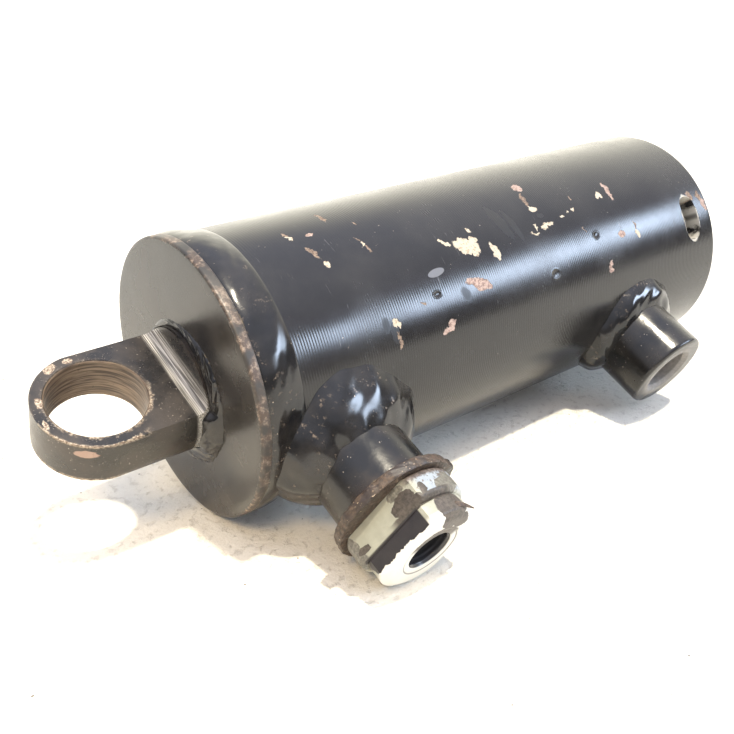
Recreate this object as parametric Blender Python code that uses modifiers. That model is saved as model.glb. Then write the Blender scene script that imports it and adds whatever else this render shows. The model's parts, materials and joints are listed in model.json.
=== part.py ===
"""Double acting hydraulic cylinder with a wire locked gland, an eye lug on its cap and two welded ports.

Lengths are in metres. The working frame has X along the barrel, from the outer face of the end cap (x = 0)
towards the gland, and its origin on the barrel's centre line. The whole cylinder is then rolled about X to
the attitude in which it lies on a floor, propped on the adaptor of its cap side port.
"""
import math

import bmesh
import bpy
from mathutils import Matrix, Vector

MM = 0.001

# Driving dimensions: barrel and cap.
BARREL_OD = 76.0 * MM
BARREL_WALL = 6.5 * MM
BODY_LENGTH = 188.5 * MM
MOUTH_BEVEL = 3.0 * MM
CAP_STEP = 0.9 * MM
CAP_EDGE = 2.8 * MM
CAP_PLATE = 7.0 * MM
CAP_SPIGOT = 10.5 * MM
WELD_BAND_WIDTH = 10.8 * MM
WELD_ROOT_FACE = 2.5 * MM
WELD_CROWN = 1.05 * MM
WELD_LUMP = 0.28 * MM

# Driving dimensions: eye lug, milled from round bar.
LUG_BAR_D = 34.0 * MM
LUG_THICKNESS = 13.0 * MM
LUG_OFFSET = 2.0 * MM
LUG_ROLL = 2.5
EYE_BORE_D = 25.0 * MM
EYE_DISTANCE = 24.1 * MM
EYE_CHAMFER = 0.5 * MM
LUG_END_R = 15.9 * MM
LUG_TAPER_START = 12.0 * MM
SHOULDER_X = 1.6 * MM
SHOULDER_FILLET = 2.4 * MM
LUG_WELD_LEG = 4.4 * MM
LUG_WELD_CLIMB = 2.4 * MM

# Driving dimensions: ports.
BOSS_D = 28.0 * MM
BOSS_HEIGHT = 19.5 * MM
PORT_BORE_D = 15.0 * MM
PORT_DEPTH = 14.0 * MM
PORT_CHAMFER = 1.3 * MM
PASSAGE_D = 10.0 * MM
CAP_PORT_X = 27.4 * MM
CAP_PORT_ROLL = 2.4
PORT_TO_GLAND = 6.4 * MM
CAP_PORT_WELD_LEG = 8.5 * MM
CAP_PORT_WELD_CLIMB = 8.5 * MM
CAP_PORT_WELD_CROWN = 0.9 * MM
ROD_PORT_WELD_LEG = 5.2 * MM
ROD_PORT_WELD_CLIMB = 5.0 * MM
ROD_PORT_WELD_CROWN = 1.1 * MM
SEAL_RING_D = 34.6 * MM
SEAL_RING_T = 2.3 * MM
SEAL_RING_CLEARANCE = 1.2 * MM
COLLAR_D = 31.2 * MM
COLLAR_AF = 22.0 * MM
COLLAR_T = 7.0 * MM
COLLAR_CHAMFER = 1.4 * MM
NOSE_D = 28.0 * MM
NOSE_AF = 21.0 * MM
NOSE_T = 6.6 * MM
NOSE_CHAMFER = 1.2 * MM
NOSE_CHAMFER_DEPTH = 2.2 * MM
FLAT_ANGLE = 146.0
HEX_TURN = 60.0
ADAPTOR_BORE_D = 11.8 * MM
ADAPTOR_BORE_DEPTH = 13.0 * MM
ADAPTOR_WAY_D = 8.0 * MM
ADAPTOR_SHANK_SHORT = 2.0 * MM

# Driving dimensions: gland, wire and seals.
GLAND_RING_WIDTH = 13.5 * MM
GLAND_LENGTH = 34.5 * MM
GLAND_RECESS = 0.5 * MM
WIRE_SETBACK = 11.0 * MM
WIRE_D = 4.4 * MM
SLOT_WIDTH = 7.6 * MM
SLOT_LENGTH = 15.0 * MM
SLOT_ANGLE = 53.0
HOOK_LEAD = 34.0
WIRE_END_LEAD = 5.0
HOOK_DEPTH = 6.0 * MM
PIN_HOLE_D = 5.2 * MM
PIN_HOLE_DEPTH = 5.5 * MM
PIN_HOLE_ANGLE = 20.0
STATIC_INSET = 6.0 * MM
STATIC_W = 7.4 * MM
STATIC_DEPTH = 3.6 * MM
BACKUP_W = 2.1 * MM
GUIDE_INSET = 3.0 * MM
GUIDE_W = 6.2 * MM
GUIDE_DEPTH = 2.4 * MM
SEAL_INSET = 13.0 * MM
SEAL_W = 7.0 * MM
SEAL_DEPTH = 5.0 * MM
WIPER_SETBACK = 5.5 * MM
WIPER_W = 4.4 * MM
WIPER_DEPTH = 4.2 * MM
WIPER_LIP = 1.4 * MM

# Driving dimensions: rod and piston.
ROD_PROTRUSION = 12.0 * MM
ROD_CHAMFER = 1.2 * MM
ROD_THREAD_BORE_D = 18.4 * MM
ROD_THREAD_DEPTH = 28.0 * MM
SHANK_STEP = 6.0 * MM
SHANK_GROOVE = 2.6 * MM
SHANK_GROOVE_W = 4.4 * MM
NUT_RIM = 6.0 * MM
NUT_T = 14.0 * MM
NUT_CLEARANCE = 1.7 * MM
PISTON_T = 27.5 * MM
PISTON_SEAL_W = 6.8 * MM
PISTON_SEAL_DEPTH = 6.6 * MM
SLIDE_RING_DEPTH = 2.6 * MM
BAND_W = 6.2 * MM
BAND_DEPTH = 2.4 * MM
BAND_INSET = 2.2 * MM
END_CLEARANCE = 2.5 * MM

# Fits and facet counts.
GAP = 0.3 * MM
TUBE_STEPS = 64
BORE_STEPS = 24
PORT_STEPS = 32
ROD_STEPS = 32
ARC_STEPS = 4

# Derived sizes.
BARREL_R = BARREL_OD / 2
BORE_R = BARREL_R - BARREL_WALL
CAP_R = BARREL_R + CAP_STEP
CAP_INNER_FACE = CAP_PLATE + CAP_SPIGOT
SPIGOT_R = BORE_R - GAP
SLIDE_R = BORE_R - GAP
WELD_BAND_END = CAP_EDGE + WELD_BAND_WIDTH
WELD_ROOT_R = BORE_R + WELD_ROOT_FACE
TUBE_START = CAP_PLATE + GAP
LUG_END = EYE_DISTANCE + LUG_END_R
BOSS_R = BOSS_D / 2
BOSS_REACH = BARREL_R + BOSS_HEIGHT
GLAND_END = BODY_LENGTH - GLAND_RECESS
GLAND_START = GLAND_END - GLAND_LENGTH
ROD_PORT_X = GLAND_START - PORT_TO_GLAND
WIRE_X = BODY_LENGTH - WIRE_SETBACK
WIRE_R = WIRE_D / 2
GROOVE_R = WIRE_R + GAP
ROD_R = BORE_R - GLAND_RING_WIDTH
ROD_FIT_R = ROD_R + GAP
ROD_END = BODY_LENGTH + ROD_PROTRUSION
SHANK_R = ROD_R - SHANK_STEP
NUT_START = CAP_INNER_FACE + NUT_CLEARANCE
SHANK_START = NUT_START - 1.0 * MM
PISTON_START = NUT_START + NUT_T + GAP
PISTON_END = PISTON_START + PISTON_T
STROKE = GLAND_START - PISTON_END - END_CLEARANCE
RING_START = BOSS_REACH + GAP
COLLAR_START = RING_START + SEAL_RING_T + GAP
NOSE_START = COLLAR_START + COLLAR_T
ADAPTOR_END = NOSE_START + NOSE_T
COLLAR_R = COLLAR_D / 2
NOSE_R = NOSE_D / 2
NOSE_EDGE = ADAPTOR_END - NOSE_CHAMFER

# The floor touches the crown of the cap weld and the front edge of the adaptor's nose. The roll of the
# cylinder follows from that: the port axis dips until the edge reaches the floor.
FLOOR_DEPTH = CAP_R + WELD_CROWN
EDGE_REACH = math.hypot(NOSE_EDGE, NOSE_R)
PORT_DIP = math.asin(FLOOR_DEPTH / EDGE_REACH) - math.atan2(NOSE_R, NOSE_EDGE)
REST_ROLL = PORT_DIP + math.radians(CAP_PORT_ROLL)

# The origin is midway along and across the object, on the floor.
X_LOW = -LUG_END
X_HIGH = ROD_END
NOSE_FACE_R = NOSE_R - NOSE_CHAMFER_DEPTH
Y_LOW = -(ADAPTOR_END * math.cos(PORT_DIP) + NOSE_FACE_R * math.sin(PORT_DIP))
Y_HIGH = FLOOR_DEPTH
OFFSET = Vector((-(X_LOW + X_HIGH) / 2, -(Y_LOW + Y_HIGH) / 2, FLOOR_DEPTH))


for item in list(bpy.data.objects):
    bpy.data.objects.remove(item, do_unlink=True)

PARTS = bpy.data.collections.new("hydraulic_cylinder")
CUTTERS = bpy.data.collections.new("cutters")
bpy.context.scene.collection.children.link(PARTS)
bpy.context.scene.collection.children.link(CUTTERS)
CUTTERS.hide_render = True


def add_empty(name, matrix, parent=None):
    """An axis marker."""
    empty = bpy.data.objects.new(name, None)
    empty.empty_display_size = 0.02
    PARTS.objects.link(empty)
    empty.parent = parent
    empty.matrix_local = matrix
    return empty


AXIS = add_empty("barrel_axis", Matrix.Translation(OFFSET) @ Matrix.Rotation(REST_ROLL, 4, "X"))
ROD_AXIS = add_empty("rod_axis", Matrix.Identity(4), AXIS)


def port_matrix(x, roll):
    """Frame of a port: its X leaves the barrel, its Y points to the gland end and its Z up."""
    turn = Matrix.Rotation(-math.radians(roll), 4, "X") @ Matrix.Rotation(-math.pi / 2, 4, "Z")
    return Matrix.Translation((x, 0.0, 0.0)) @ turn


CAP_PORT = add_empty("cap_port_axis", port_matrix(CAP_PORT_X, CAP_PORT_ROLL), AXIS)
ROD_PORT = add_empty("rod_port_axis", port_matrix(ROD_PORT_X, 0.0), AXIS)
LUG_FRAME = add_empty(
    "lug_axis",
    Matrix.Rotation(-math.radians(LUG_ROLL), 4, "X") @ Matrix.Translation((0.0, 0.0, -LUG_OFFSET)),
    AXIS,
)


def add_object(name, mesh, parent, collection):
    """Link a mesh as an object in one of the axis frames."""
    obj = bpy.data.objects.new(name, mesh)
    collection.objects.link(obj)
    obj.parent = parent
    if collection is CUTTERS:
        obj.hide_render = True
        obj.display_type = "WIRE"
    return obj


def paint(obj, color, metallic, roughness):
    """Give an object its own plain material."""
    material = bpy.data.materials.new(obj.name)
    material.use_nodes = True
    shader = material.node_tree.nodes["Principled BSDF"]
    shader.inputs["Base Color"].default_value = (*color, 1.0)
    shader.inputs["Metallic"].default_value = metallic
    shader.inputs["Roughness"].default_value = roughness
    material.diffuse_color = (*color, 1.0)
    obj.data.materials.clear()
    obj.data.materials.append(material)


def smooth(obj, angle=32.0):
    """Shade round faces smoothly and keep true edges sharp."""
    obj.data.shade_smooth()
    obj.data.set_sharp_from_angle(angle=math.radians(angle))


def counter_clockwise(profile):
    """Order a closed (x, r) outline so that its faces look outwards when it is turned."""
    area = 0.0
    for (x0, r0), (x1, r1) in zip(profile, profile[1:] + profile[:1]):
        area += x0 * r1 - x1 * r0
    return profile if area > 0 else profile[::-1]


def turned(name, profile, steps, parent=AXIS, collection=PARTS, center=(0.0, 0.0)):
    """Turn an (x, r) outline about the X axis.

    An outline whose first and last points are on the axis stays open there. Any other is closed.
    """
    solid = profile[0][1] == 0.0 and profile[-1][1] == 0.0
    if solid:
        points = profile if profile[0][0] > profile[-1][0] else profile[::-1]
    else:
        points = counter_clockwise(profile)
    mesh = bpy.data.meshes.new(name)
    bm = bmesh.new()
    verts = [bm.verts.new((x, r, 0.0)) for x, r in points]
    for a, b in zip(verts, verts[1:]):
        bm.edges.new((a, b))
    if not solid:
        bm.edges.new((verts[-1], verts[0]))
    bm.to_mesh(mesh)
    bm.free()
    obj = add_object(name, mesh, parent, collection)
    obj.location = (0.0, center[0], center[1])
    screw = obj.modifiers.new("turn", "SCREW")
    screw.axis = "X"
    screw.steps = steps
    screw.render_steps = steps
    screw.use_merge_vertices = True
    screw.merge_threshold = 0.000002
    screw.use_smooth_shade = True
    return obj


def settle(obj, angle=32.0):
    """Turn an object's modifiers into mesh, so that its faces can be shaded one by one."""
    depsgraph = bpy.context.evaluated_depsgraph_get()
    mesh = bpy.data.meshes.new_from_object(obj.evaluated_get(depsgraph), depsgraph=depsgraph)
    bm = bmesh.new()
    bm.from_mesh(mesh)
    bmesh.ops.remove_doubles(bm, verts=bm.verts, dist=0.000001)
    bmesh.ops.dissolve_degenerate(bm, edges=bm.edges, dist=0.000001)
    bmesh.ops.recalc_face_normals(bm, faces=bm.faces)
    bm.to_mesh(mesh)
    bm.free()
    mesh.name = obj.name
    obj.modifiers.clear()
    obj.data = mesh
    smooth(obj, angle)


def cut(obj, cutter, operation="DIFFERENCE"):
    """Cut one object with another."""
    boolean = obj.modifiers.new(cutter.name, "BOOLEAN")
    boolean.operation = operation
    boolean.solver = "EXACT"
    boolean.object = cutter


def cylinder_tool(name, radius, x0, x1, parent, steps=48, phase=0.0, center=(0.0, 0.0)):
    """A plain cylinder along X."""
    mesh = bpy.data.meshes.new(name)
    bm = bmesh.new()
    bmesh.ops.create_cone(bm, cap_ends=True, segments=steps, radius1=radius, radius2=radius, depth=x1 - x0)
    turn = Matrix.Rotation(phase, 4, "X") @ Matrix.Rotation(math.pi / 2, 4, "Y")
    move = Matrix.Translation(((x0 + x1) / 2, center[0], center[1]))
    bmesh.ops.transform(bm, matrix=move @ turn, verts=bm.verts)
    bm.to_mesh(mesh)
    bm.free()
    return add_object(name, mesh, parent, CUTTERS)


def prism(name, outline, half, parent, collection):
    """A flat outline in the (x, z) plane, as thick as half to both sides along Y."""
    curve = bpy.data.curves.new(name, "CURVE")
    curve.dimensions = "2D"
    curve.fill_mode = "BOTH"
    curve.extrude = half
    spline = curve.splines.new("POLY")
    spline.points.add(len(outline) - 1)
    for point, (x, z) in zip(spline.points, outline):
        point.co = (x, z, 0.0, 1.0)
    spline.use_cyclic_u = True
    source = add_object(name + "_outline", curve, None, CUTTERS)
    depsgraph = bpy.context.evaluated_depsgraph_get()
    mesh = bpy.data.meshes.new_from_object(source.evaluated_get(depsgraph), depsgraph=depsgraph)
    bpy.data.objects.remove(source, do_unlink=True)
    mesh.transform(Matrix.Rotation(math.pi / 2, 4, "X"))
    bm = bmesh.new()
    bm.from_mesh(mesh)
    bmesh.ops.remove_doubles(bm, verts=bm.verts, dist=0.000001)
    bmesh.ops.recalc_face_normals(bm, faces=bm.faces)
    bm.to_mesh(mesh)
    bm.free()
    mesh.name = name
    return add_object(name, mesh, parent, collection)


def ring_body(name, rings, parent):
    """Close a row of section loops around an axis into one ring shaped body."""
    mesh = bpy.data.meshes.new(name)
    bm = bmesh.new()
    rows = [[bm.verts.new(point) for point in loop] for loop in rings]
    count = len(rows)
    size = len(rows[0])
    for i in range(count):
        one = rows[i]
        two = rows[(i + 1) % count]
        for j in range(size):
            k = (j + 1) % size
            bm.faces.new((one[j], two[j], two[k], one[k]))
    bmesh.ops.recalc_face_normals(bm, faces=bm.faces)
    bm.to_mesh(mesh)
    bm.free()
    obj = add_object(name, mesh, parent, PARTS)
    smooth(obj, 50.0)
    return obj


def lumps(angle, phase, waves):
    """Uneven height of a hand laid bead, between about -1 and 1, periodic around its ring."""
    value = 0.0
    total = 0.0
    for order, weight in waves:
        value += weight * math.sin(order * angle + phase * order * 0.7 + math.sin(angle * 2.0 + phase))
        total += weight
    return value / total


# Barrel tube: turned inside and out, with its end bevelled for the cap weld, the passages of both ports, a
# groove for the locking wire and the slot through which the wire was fed.
groove = []
for step in range(ARC_STEPS + 1):
    a = math.pi * step / ARC_STEPS
    groove.append((WIRE_X - GROOVE_R * math.cos(a), BORE_R + GROOVE_R * math.sin(a)))
barrel = turned(
    "barrel_tube",
    [
        (TUBE_START, BORE_R),
        (TUBE_START, WELD_ROOT_R),
        (WELD_BAND_END, BARREL_R),
        (BODY_LENGTH - 0.5 * MM, BARREL_R),
        (BODY_LENGTH, BARREL_R - 0.5 * MM),
        (BODY_LENGTH, BORE_R + 0.3 * MOUTH_BEVEL),
        (BODY_LENGTH - MOUTH_BEVEL, BORE_R),
        *groove[::-1],
    ],
    TUBE_STEPS,
)
for port_name, port in (("cap", CAP_PORT), ("rod", ROD_PORT)):
    tool_name = port_name + "_passage_tool"
    cut(barrel, cylinder_tool(tool_name, PASSAGE_D / 2, BORE_R - WIRE_D, BOSS_REACH, port, 16))
slot_outline = []
for side in (1, -1):
    for step in range(2 * ARC_STEPS + 1):
        a = math.pi * step / (2 * ARC_STEPS)
        slot_outline.append((
            WIRE_X + side * SLOT_WIDTH / 2 * math.cos(a),
            side * ((SLOT_LENGTH - SLOT_WIDTH) / 2 + SLOT_WIDTH / 2 * math.sin(a)),
        ))
slot_tool = prism("slot_tool", slot_outline, BARREL_WALL, AXIS, CUTTERS)
slot_tool.matrix_local = (
    Matrix.Rotation(-math.radians(SLOT_ANGLE), 4, "X") @ Matrix.Translation((0.0, -BARREL_R, 0.0))
)
cut(barrel, slot_tool)

# End cap: a plate with a turned spigot in the tube and a bevel behind its rim for the weld.
cap = turned(
    "end_cap",
    [
        (CAP_INNER_FACE, 0.0),
        (CAP_INNER_FACE, SPIGOT_R - 1.2 * MM),
        (CAP_INNER_FACE - 1.2 * MM, SPIGOT_R),
        (CAP_PLATE, SPIGOT_R),
        (CAP_PLATE, WELD_ROOT_R),
        (CAP_EDGE, CAP_R),
        (0.9 * MM, CAP_R),
        (0.25 * MM, CAP_R - 0.3 * MM),
        (0.0, CAP_R - 0.9 * MM),
        (0.0, 0.0),
    ],
    TUBE_STEPS,
)

# Cap weld: a hand laid band that fills the groove between the cap's rim and the tube and stands proud of
# both. Its section follows the two bevels and its crown rises and falls around the joint.
WELD_STEPS = 64
CROWN_STEPS = 5
cap_slope = Vector((CAP_PLATE - CAP_EDGE, WELD_ROOT_R - CAP_R)).normalized()
tube_slope = Vector((WELD_BAND_END - TUBE_START, BARREL_R - WELD_ROOT_R)).normalized()
cap_side = Vector((CAP_EDGE, CAP_R)) + GAP * Vector((-cap_slope.y, cap_slope.x))
tube_side = Vector((WELD_BAND_END, BARREL_R)) + GAP * Vector((-tube_slope.y, tube_slope.x))
weld_rings = []
for i in range(WELD_STEPS):
    angle = 2 * math.pi * i / WELD_STEPS
    section = [
        tuple(cap_side),
        (CAP_PLATE + 0.45 * MM, WELD_ROOT_R + 0.75 * MM),
        tuple(tube_side),
    ]
    crown = []
    for j in range(1, CROWN_STEPS):
        s = j / CROWN_STEPS
        x = tube_side.x + (cap_side.x - tube_side.x) * s
        base = tube_side.y + (cap_side.y - tube_side.y) * s
        hump = math.sin(math.pi * s) ** 0.6 * (0.55 + 0.45 * s)
        lump = lumps(angle + 0.35 * s, 1.3, [(9, 1.0), (17, 0.8), (31, 0.6)])
        ridge = WELD_LUMP * lump * math.sin(math.pi * s)
        crown.append((x, base + (WELD_CROWN - WELD_LUMP) * hump + ridge))
    loop = section + crown
    weld_rings.append([(x, r * math.cos(angle), r * math.sin(angle)) for x, r in loop])
cap_weld = ring_body("cap_weld", weld_rings, AXIS)

# Eye lug: round bar with two milled flats that end in a filleted shoulder, a full round end and a plain eye.
LIE_DOWN = Matrix.Rotation(math.pi / 2, 4, "Y")
lug_r = LUG_BAR_D / 2
cheek = LUG_THICKNESS / 2
lug_mesh = bpy.data.meshes.new("base_lug")
bm = bmesh.new()
bmesh.ops.create_cone(
    bm, cap_ends=True, segments=48, radius1=lug_r, radius2=lug_r, depth=LUG_END + cheek - GAP,
)
bmesh.ops.transform(
    bm,
    matrix=Matrix.Translation((-(LUG_END + cheek + GAP) / 2, 0.0, 0.0)) @ LIE_DOWN,
    verts=bm.verts,
)
bm.to_mesh(lug_mesh)
bm.free()
lug = add_object("base_lug", lug_mesh, LUG_FRAME, PARTS)
flat_tool = prism(
    "flat_tool",
    [
        (-LUG_END - lug_r, cheek),
        (-SHOULDER_X - SHOULDER_FILLET, cheek),
        (-SHOULDER_X - 0.7 * SHOULDER_FILLET, cheek + 0.2 * SHOULDER_FILLET),
        (-SHOULDER_X - 0.2 * SHOULDER_FILLET, cheek + 0.7 * SHOULDER_FILLET),
        (-SHOULDER_X, cheek + SHOULDER_FILLET),
        (-SHOULDER_X, 2 * lug_r),
        (-LUG_END - lug_r, 2 * lug_r),
    ],
    2 * lug_r,
    LUG_FRAME,
    CUTTERS,
)
mirror = flat_tool.modifiers.new("both_sides", "MIRROR")
mirror.use_axis = (False, False, True)
mirror.use_mirror_merge = False
cut(lug, flat_tool)
taper_run = EYE_DISTANCE - LUG_TAPER_START
tangent = math.atan2(lug_r, taper_run) + math.acos(LUG_END_R / math.hypot(lug_r, taper_run))
end_arc = []
for step in range(6 * ARC_STEPS + 1):
    a = tangent + (2 * math.pi - 2 * tangent) * step / (6 * ARC_STEPS)
    end_arc.append((-EYE_DISTANCE + LUG_END_R * math.cos(a), LUG_END_R * math.sin(a)))
plan = [(cheek, lug_r + GAP), (-LUG_TAPER_START, lug_r + GAP)] + end_arc
plan += [(-LUG_TAPER_START, -lug_r - GAP), (cheek, -lug_r - GAP)]
plan_tool = prism("plan_tool", plan, 2 * lug_r, LUG_FRAME, CUTTERS)
plan_tool.matrix_local = Matrix.Rotation(math.pi / 2, 4, "X")
cut(lug, plan_tool, "INTERSECT")
eye_r = EYE_BORE_D / 2
eye_tool = turned(
    "eye_tool",
    [
        (2 * cheek, 0.0),
        (2 * cheek, eye_r + cheek + EYE_CHAMFER),
        (cheek - EYE_CHAMFER, eye_r),
        (-cheek + EYE_CHAMFER, eye_r),
        (-2 * cheek, eye_r + cheek + EYE_CHAMFER),
        (-2 * cheek, 0.0),
    ],
    40,
    LUG_FRAME,
    CUTTERS,
)
eye_tool.matrix_local = Matrix.Translation((-EYE_DISTANCE, 0.0, 0.0)) @ Matrix.Rotation(math.pi / 2, 4, "Y")
cut(lug, eye_tool)

# Lug weld: a fillet around the bar on the cap's face. It is full below and on the ports' side, thin on the
# far side and at the top, climbs the round sides of the bar and stays below the milled shoulders.
LUG_WELD_STEPS = 48
THIN_SHARE = 0.35


def ease(value, low, high):
    """A smooth step from 0 at low to 1 at high."""
    t = min(1.0, max(0.0, (value - low) / (high - low)))
    return t * t * (3 - 2 * t)


lug_rings = []
for i in range(LUG_WELD_STEPS):
    angle = 2 * math.pi * i / LUG_WELD_STEPS
    turn = math.degrees(angle)
    full = THIN_SHARE + (1.0 - THIN_SHARE) * ease(turn, 70.0, 130.0) * ease(-turn, -350.0, -290.0)
    climb = ease(abs(math.cos(angle)), 0.90, 0.97)
    height = (SHOULDER_X - 0.45 * MM + climb * LUG_WELD_CLIMB) * full
    lump = lumps(angle, 2.1, [(11, 1.0), (23, 0.8)])
    leg = LUG_WELD_LEG * full * (1.0 + 0.08 * lump)
    inner = lug_r + GAP
    loop = [(-GAP, inner)]
    loop.append((-GAP - height, inner))
    for j in range(1, 4):
        s = j / 4
        bulge = (0.42 * MM + 0.15 * MM * lump) * full * math.sin(math.pi * s)
        loop.append((-GAP - height * (1 - s) - bulge, inner + leg * s + bulge))
    loop.append((-GAP, inner + leg))
    lug_rings.append([(x, r * math.cos(angle), r * math.sin(angle)) for x, r in loop])
lug_weld = ring_body("lug_weld", lug_rings, LUG_FRAME)


def boss(name, port):
    """A turned port boss whose foot is saddle cut to the barrel, with its tapped bore and passage."""
    drill = PORT_BORE_D / 2
    passage = PASSAGE_D / 2
    foot = math.sqrt(BARREL_R ** 2 - BOSS_R ** 2) - BARREL_WALL / 2
    body = turned(
        name,
        [
            (foot, passage),
            (foot, BOSS_R),
            (BOSS_REACH - 1.0 * MM, BOSS_R),
            (BOSS_REACH - 0.3 * MM, BOSS_R - 0.3 * MM),
            (BOSS_REACH, BOSS_R - 1.0 * MM),
            (BOSS_REACH, drill + PORT_CHAMFER),
            (BOSS_REACH - PORT_CHAMFER, drill),
            (BOSS_REACH - PORT_DEPTH, drill),
            (BOSS_REACH - PORT_DEPTH - (drill - passage) * 0.6, passage),
        ],
        PORT_STEPS,
        port,
    )
    return body


saddle_tool = cylinder_tool("saddle_tool", BARREL_R + GAP, -BOSS_D, BODY_LENGTH + BOSS_D, AXIS, TUBE_STEPS)
cap_boss = boss("cap_port_boss", CAP_PORT)
cut(cap_boss, saddle_tool)
rod_boss = boss("rod_port_boss", ROD_PORT)
cut(rod_boss, saddle_tool)


def saddle_weld(name, port, leg, climb, crown, phase, steps=44):
    """A fillet bead around a boss: its foot lies on the round barrel, its top runs around the boss."""
    rings = []
    inner = BOSS_R + GAP
    lie = BARREL_R + GAP
    for i in range(steps):
        angle = 2 * math.pi * i / steps
        lump = lumps(angle, phase, [(5, 1.0), (9, 0.8), (16, 0.5)])
        reach = leg * (1.0 + 0.09 * lump)
        sine = math.sin(angle)

        def seat(r):
            """Height of the barrel's surface above its axis, at a distance r from the port axis."""
            return math.sqrt(lie * lie - (r * sine) ** 2)

        top = seat(inner) + climb * (1.0 + 0.08 * lump)
        foot = seat(inner + reach)
        loop = [(seat(inner), inner), (top, inner)]
        for j in range(1, 5):
            s = j / 5
            swell = (crown + 0.35 * MM * lumps(angle + 0.5 * s, phase + 1.0, [(7, 1.0), (13, 0.8)]))
            swell *= math.sin(math.pi * s)
            slope = math.atan2(top - foot, reach)
            x = top + (foot - top) * s + swell * math.cos(slope)
            r = inner + reach * s + swell * math.sin(slope)
            loop.append((x, r))
        loop.append((foot, inner + reach))
        loop.append((seat(inner + reach * 0.5), inner + reach * 0.5))
        rings.append([(x, r * math.cos(angle), r * sine) for x, r in loop])
    return ring_body(name, rings, port)


cap_port_weld = saddle_weld(
    "cap_port_weld", CAP_PORT, CAP_PORT_WELD_LEG, CAP_PORT_WELD_CLIMB, CAP_PORT_WELD_CROWN, 0.4,
)

# This bead runs up onto the cap weld, whose crown it clears all the way round.
crown_outline = [(tube_side.x + GAP, 0.0), (tube_side.x + GAP, tube_side.y + GAP)]
for j in range(1, CROWN_STEPS):
    s = j / CROWN_STEPS
    hump = math.sin(math.pi * s) ** 0.6 * (0.55 + 0.45 * s)
    rise = (WELD_CROWN - WELD_LUMP) * hump + WELD_LUMP * math.sin(math.pi * s)
    base = tube_side.y + (cap_side.y - tube_side.y) * s
    crown_outline.append((tube_side.x + (cap_side.x - tube_side.x) * s, base + rise + GAP))
crown_outline += [(cap_side.x, cap_side.y + GAP), (-BOSS_D, cap_side.y + GAP), (-BOSS_D, 0.0)]
cut(cap_port_weld, turned("crown_tool", crown_outline, WELD_STEPS, AXIS, CUTTERS))
rod_port_weld = saddle_weld(
    "rod_port_weld", ROD_PORT, ROD_PORT_WELD_LEG, ROD_PORT_WELD_CLIMB, ROD_PORT_WELD_CROWN, 2.6,
)

# Sealing ring: a flat ring squeezed between the boss and the adaptor, with a ragged rusty rim.
ring_rings = []
RING_STEPS = 36
for i in range(RING_STEPS):
    angle = 2 * math.pi * i / RING_STEPS
    ragged = 0.35 * MM * lumps(angle, 0.8, [(5, 1.0), (13, 0.7), (21, 0.6)])
    outer = SEAL_RING_D / 2 + ragged
    inner = PORT_BORE_D / 2 + SEAL_RING_CLEARANCE
    loop = [
        (RING_START, inner),
        (RING_START, outer - 0.5 * MM),
        (RING_START + 0.5 * MM, outer),
        (RING_START + SEAL_RING_T - 0.5 * MM, outer),
        (RING_START + SEAL_RING_T, outer - 0.5 * MM),
        (RING_START + SEAL_RING_T, inner),
    ]
    ring_rings.append([(x, r * math.cos(angle), r * math.sin(angle)) for x, r in loop])
sealing_ring = ring_body("sealing_ring", ring_rings, CAP_PORT)

# Port adaptor: turned from bar, with a threaded shank in the boss, a collar against the sealing ring and a
# nose. Both are milled with two parallel flats in line with each other. Its bore opens at the front.
shank_fit = PORT_BORE_D / 2 - GAP
SHANK_LENGTH = PORT_DEPTH - ADAPTOR_SHANK_SHORT
adaptor = turned(
    "port_adaptor",
    [
        (BOSS_REACH - SHANK_LENGTH, ADAPTOR_WAY_D / 2),
        (BOSS_REACH - SHANK_LENGTH, shank_fit - 1.0 * MM),
        (BOSS_REACH - SHANK_LENGTH + 1.0 * MM, shank_fit),
        (COLLAR_START, shank_fit),
        (COLLAR_START, COLLAR_R - 0.8 * MM),
        (COLLAR_START + 0.8 * MM, COLLAR_R),
        (NOSE_START - COLLAR_CHAMFER, COLLAR_R),
        (NOSE_START, COLLAR_R - COLLAR_CHAMFER),
        (NOSE_START, NOSE_R),
        (NOSE_EDGE, NOSE_R),
        (ADAPTOR_END, NOSE_FACE_R),
        (ADAPTOR_END, ADAPTOR_BORE_D / 2 + 0.4 * MM),
        (ADAPTOR_END - 0.4 * MM, ADAPTOR_BORE_D / 2),
        (ADAPTOR_END - ADAPTOR_BORE_DEPTH, ADAPTOR_BORE_D / 2),
        (ADAPTOR_END - ADAPTOR_BORE_DEPTH - 1.0 * MM, ADAPTOR_WAY_D / 2),
    ],
    PORT_STEPS,
    CAP_PORT,
)
flat_mesh = bpy.data.meshes.new("flat_tool")
bm = bmesh.new()
flat_turn = math.radians(FLAT_ANGLE)
loops = []
for x, half in [
    (BOSS_REACH - PORT_DEPTH, COLLAR_AF / 2),
    (NOSE_START - COLLAR_CHAMFER / 2, COLLAR_AF / 2),
    (NOSE_START, NOSE_AF / 2),
    (ADAPTOR_END + GAP, NOSE_AF / 2),
]:
    row = []
    for out, side in ((half, -COLLAR_D), (half, COLLAR_D), (-half, COLLAR_D), (-half, -COLLAR_D)):
        y = out * math.cos(flat_turn) - side * math.sin(flat_turn)
        z = out * math.sin(flat_turn) + side * math.cos(flat_turn)
        row.append(bm.verts.new((x, y, z)))
    loops.append(row)
for one, two in zip(loops, loops[1:]):
    for k in range(4):
        n = (k + 1) % 4
        bm.faces.new((one[k], one[n], two[n], two[k]))
bm.faces.new(loops[0][::-1])
bm.faces.new(loops[-1])
bmesh.ops.recalc_face_normals(bm, faces=bm.faces)
bm.to_mesh(flat_mesh)
bm.free()
flat_tool = add_object("flat_tool", flat_mesh, CAP_PORT, CUTTERS)
cut(adaptor, flat_tool, "INTERSECT")

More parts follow.
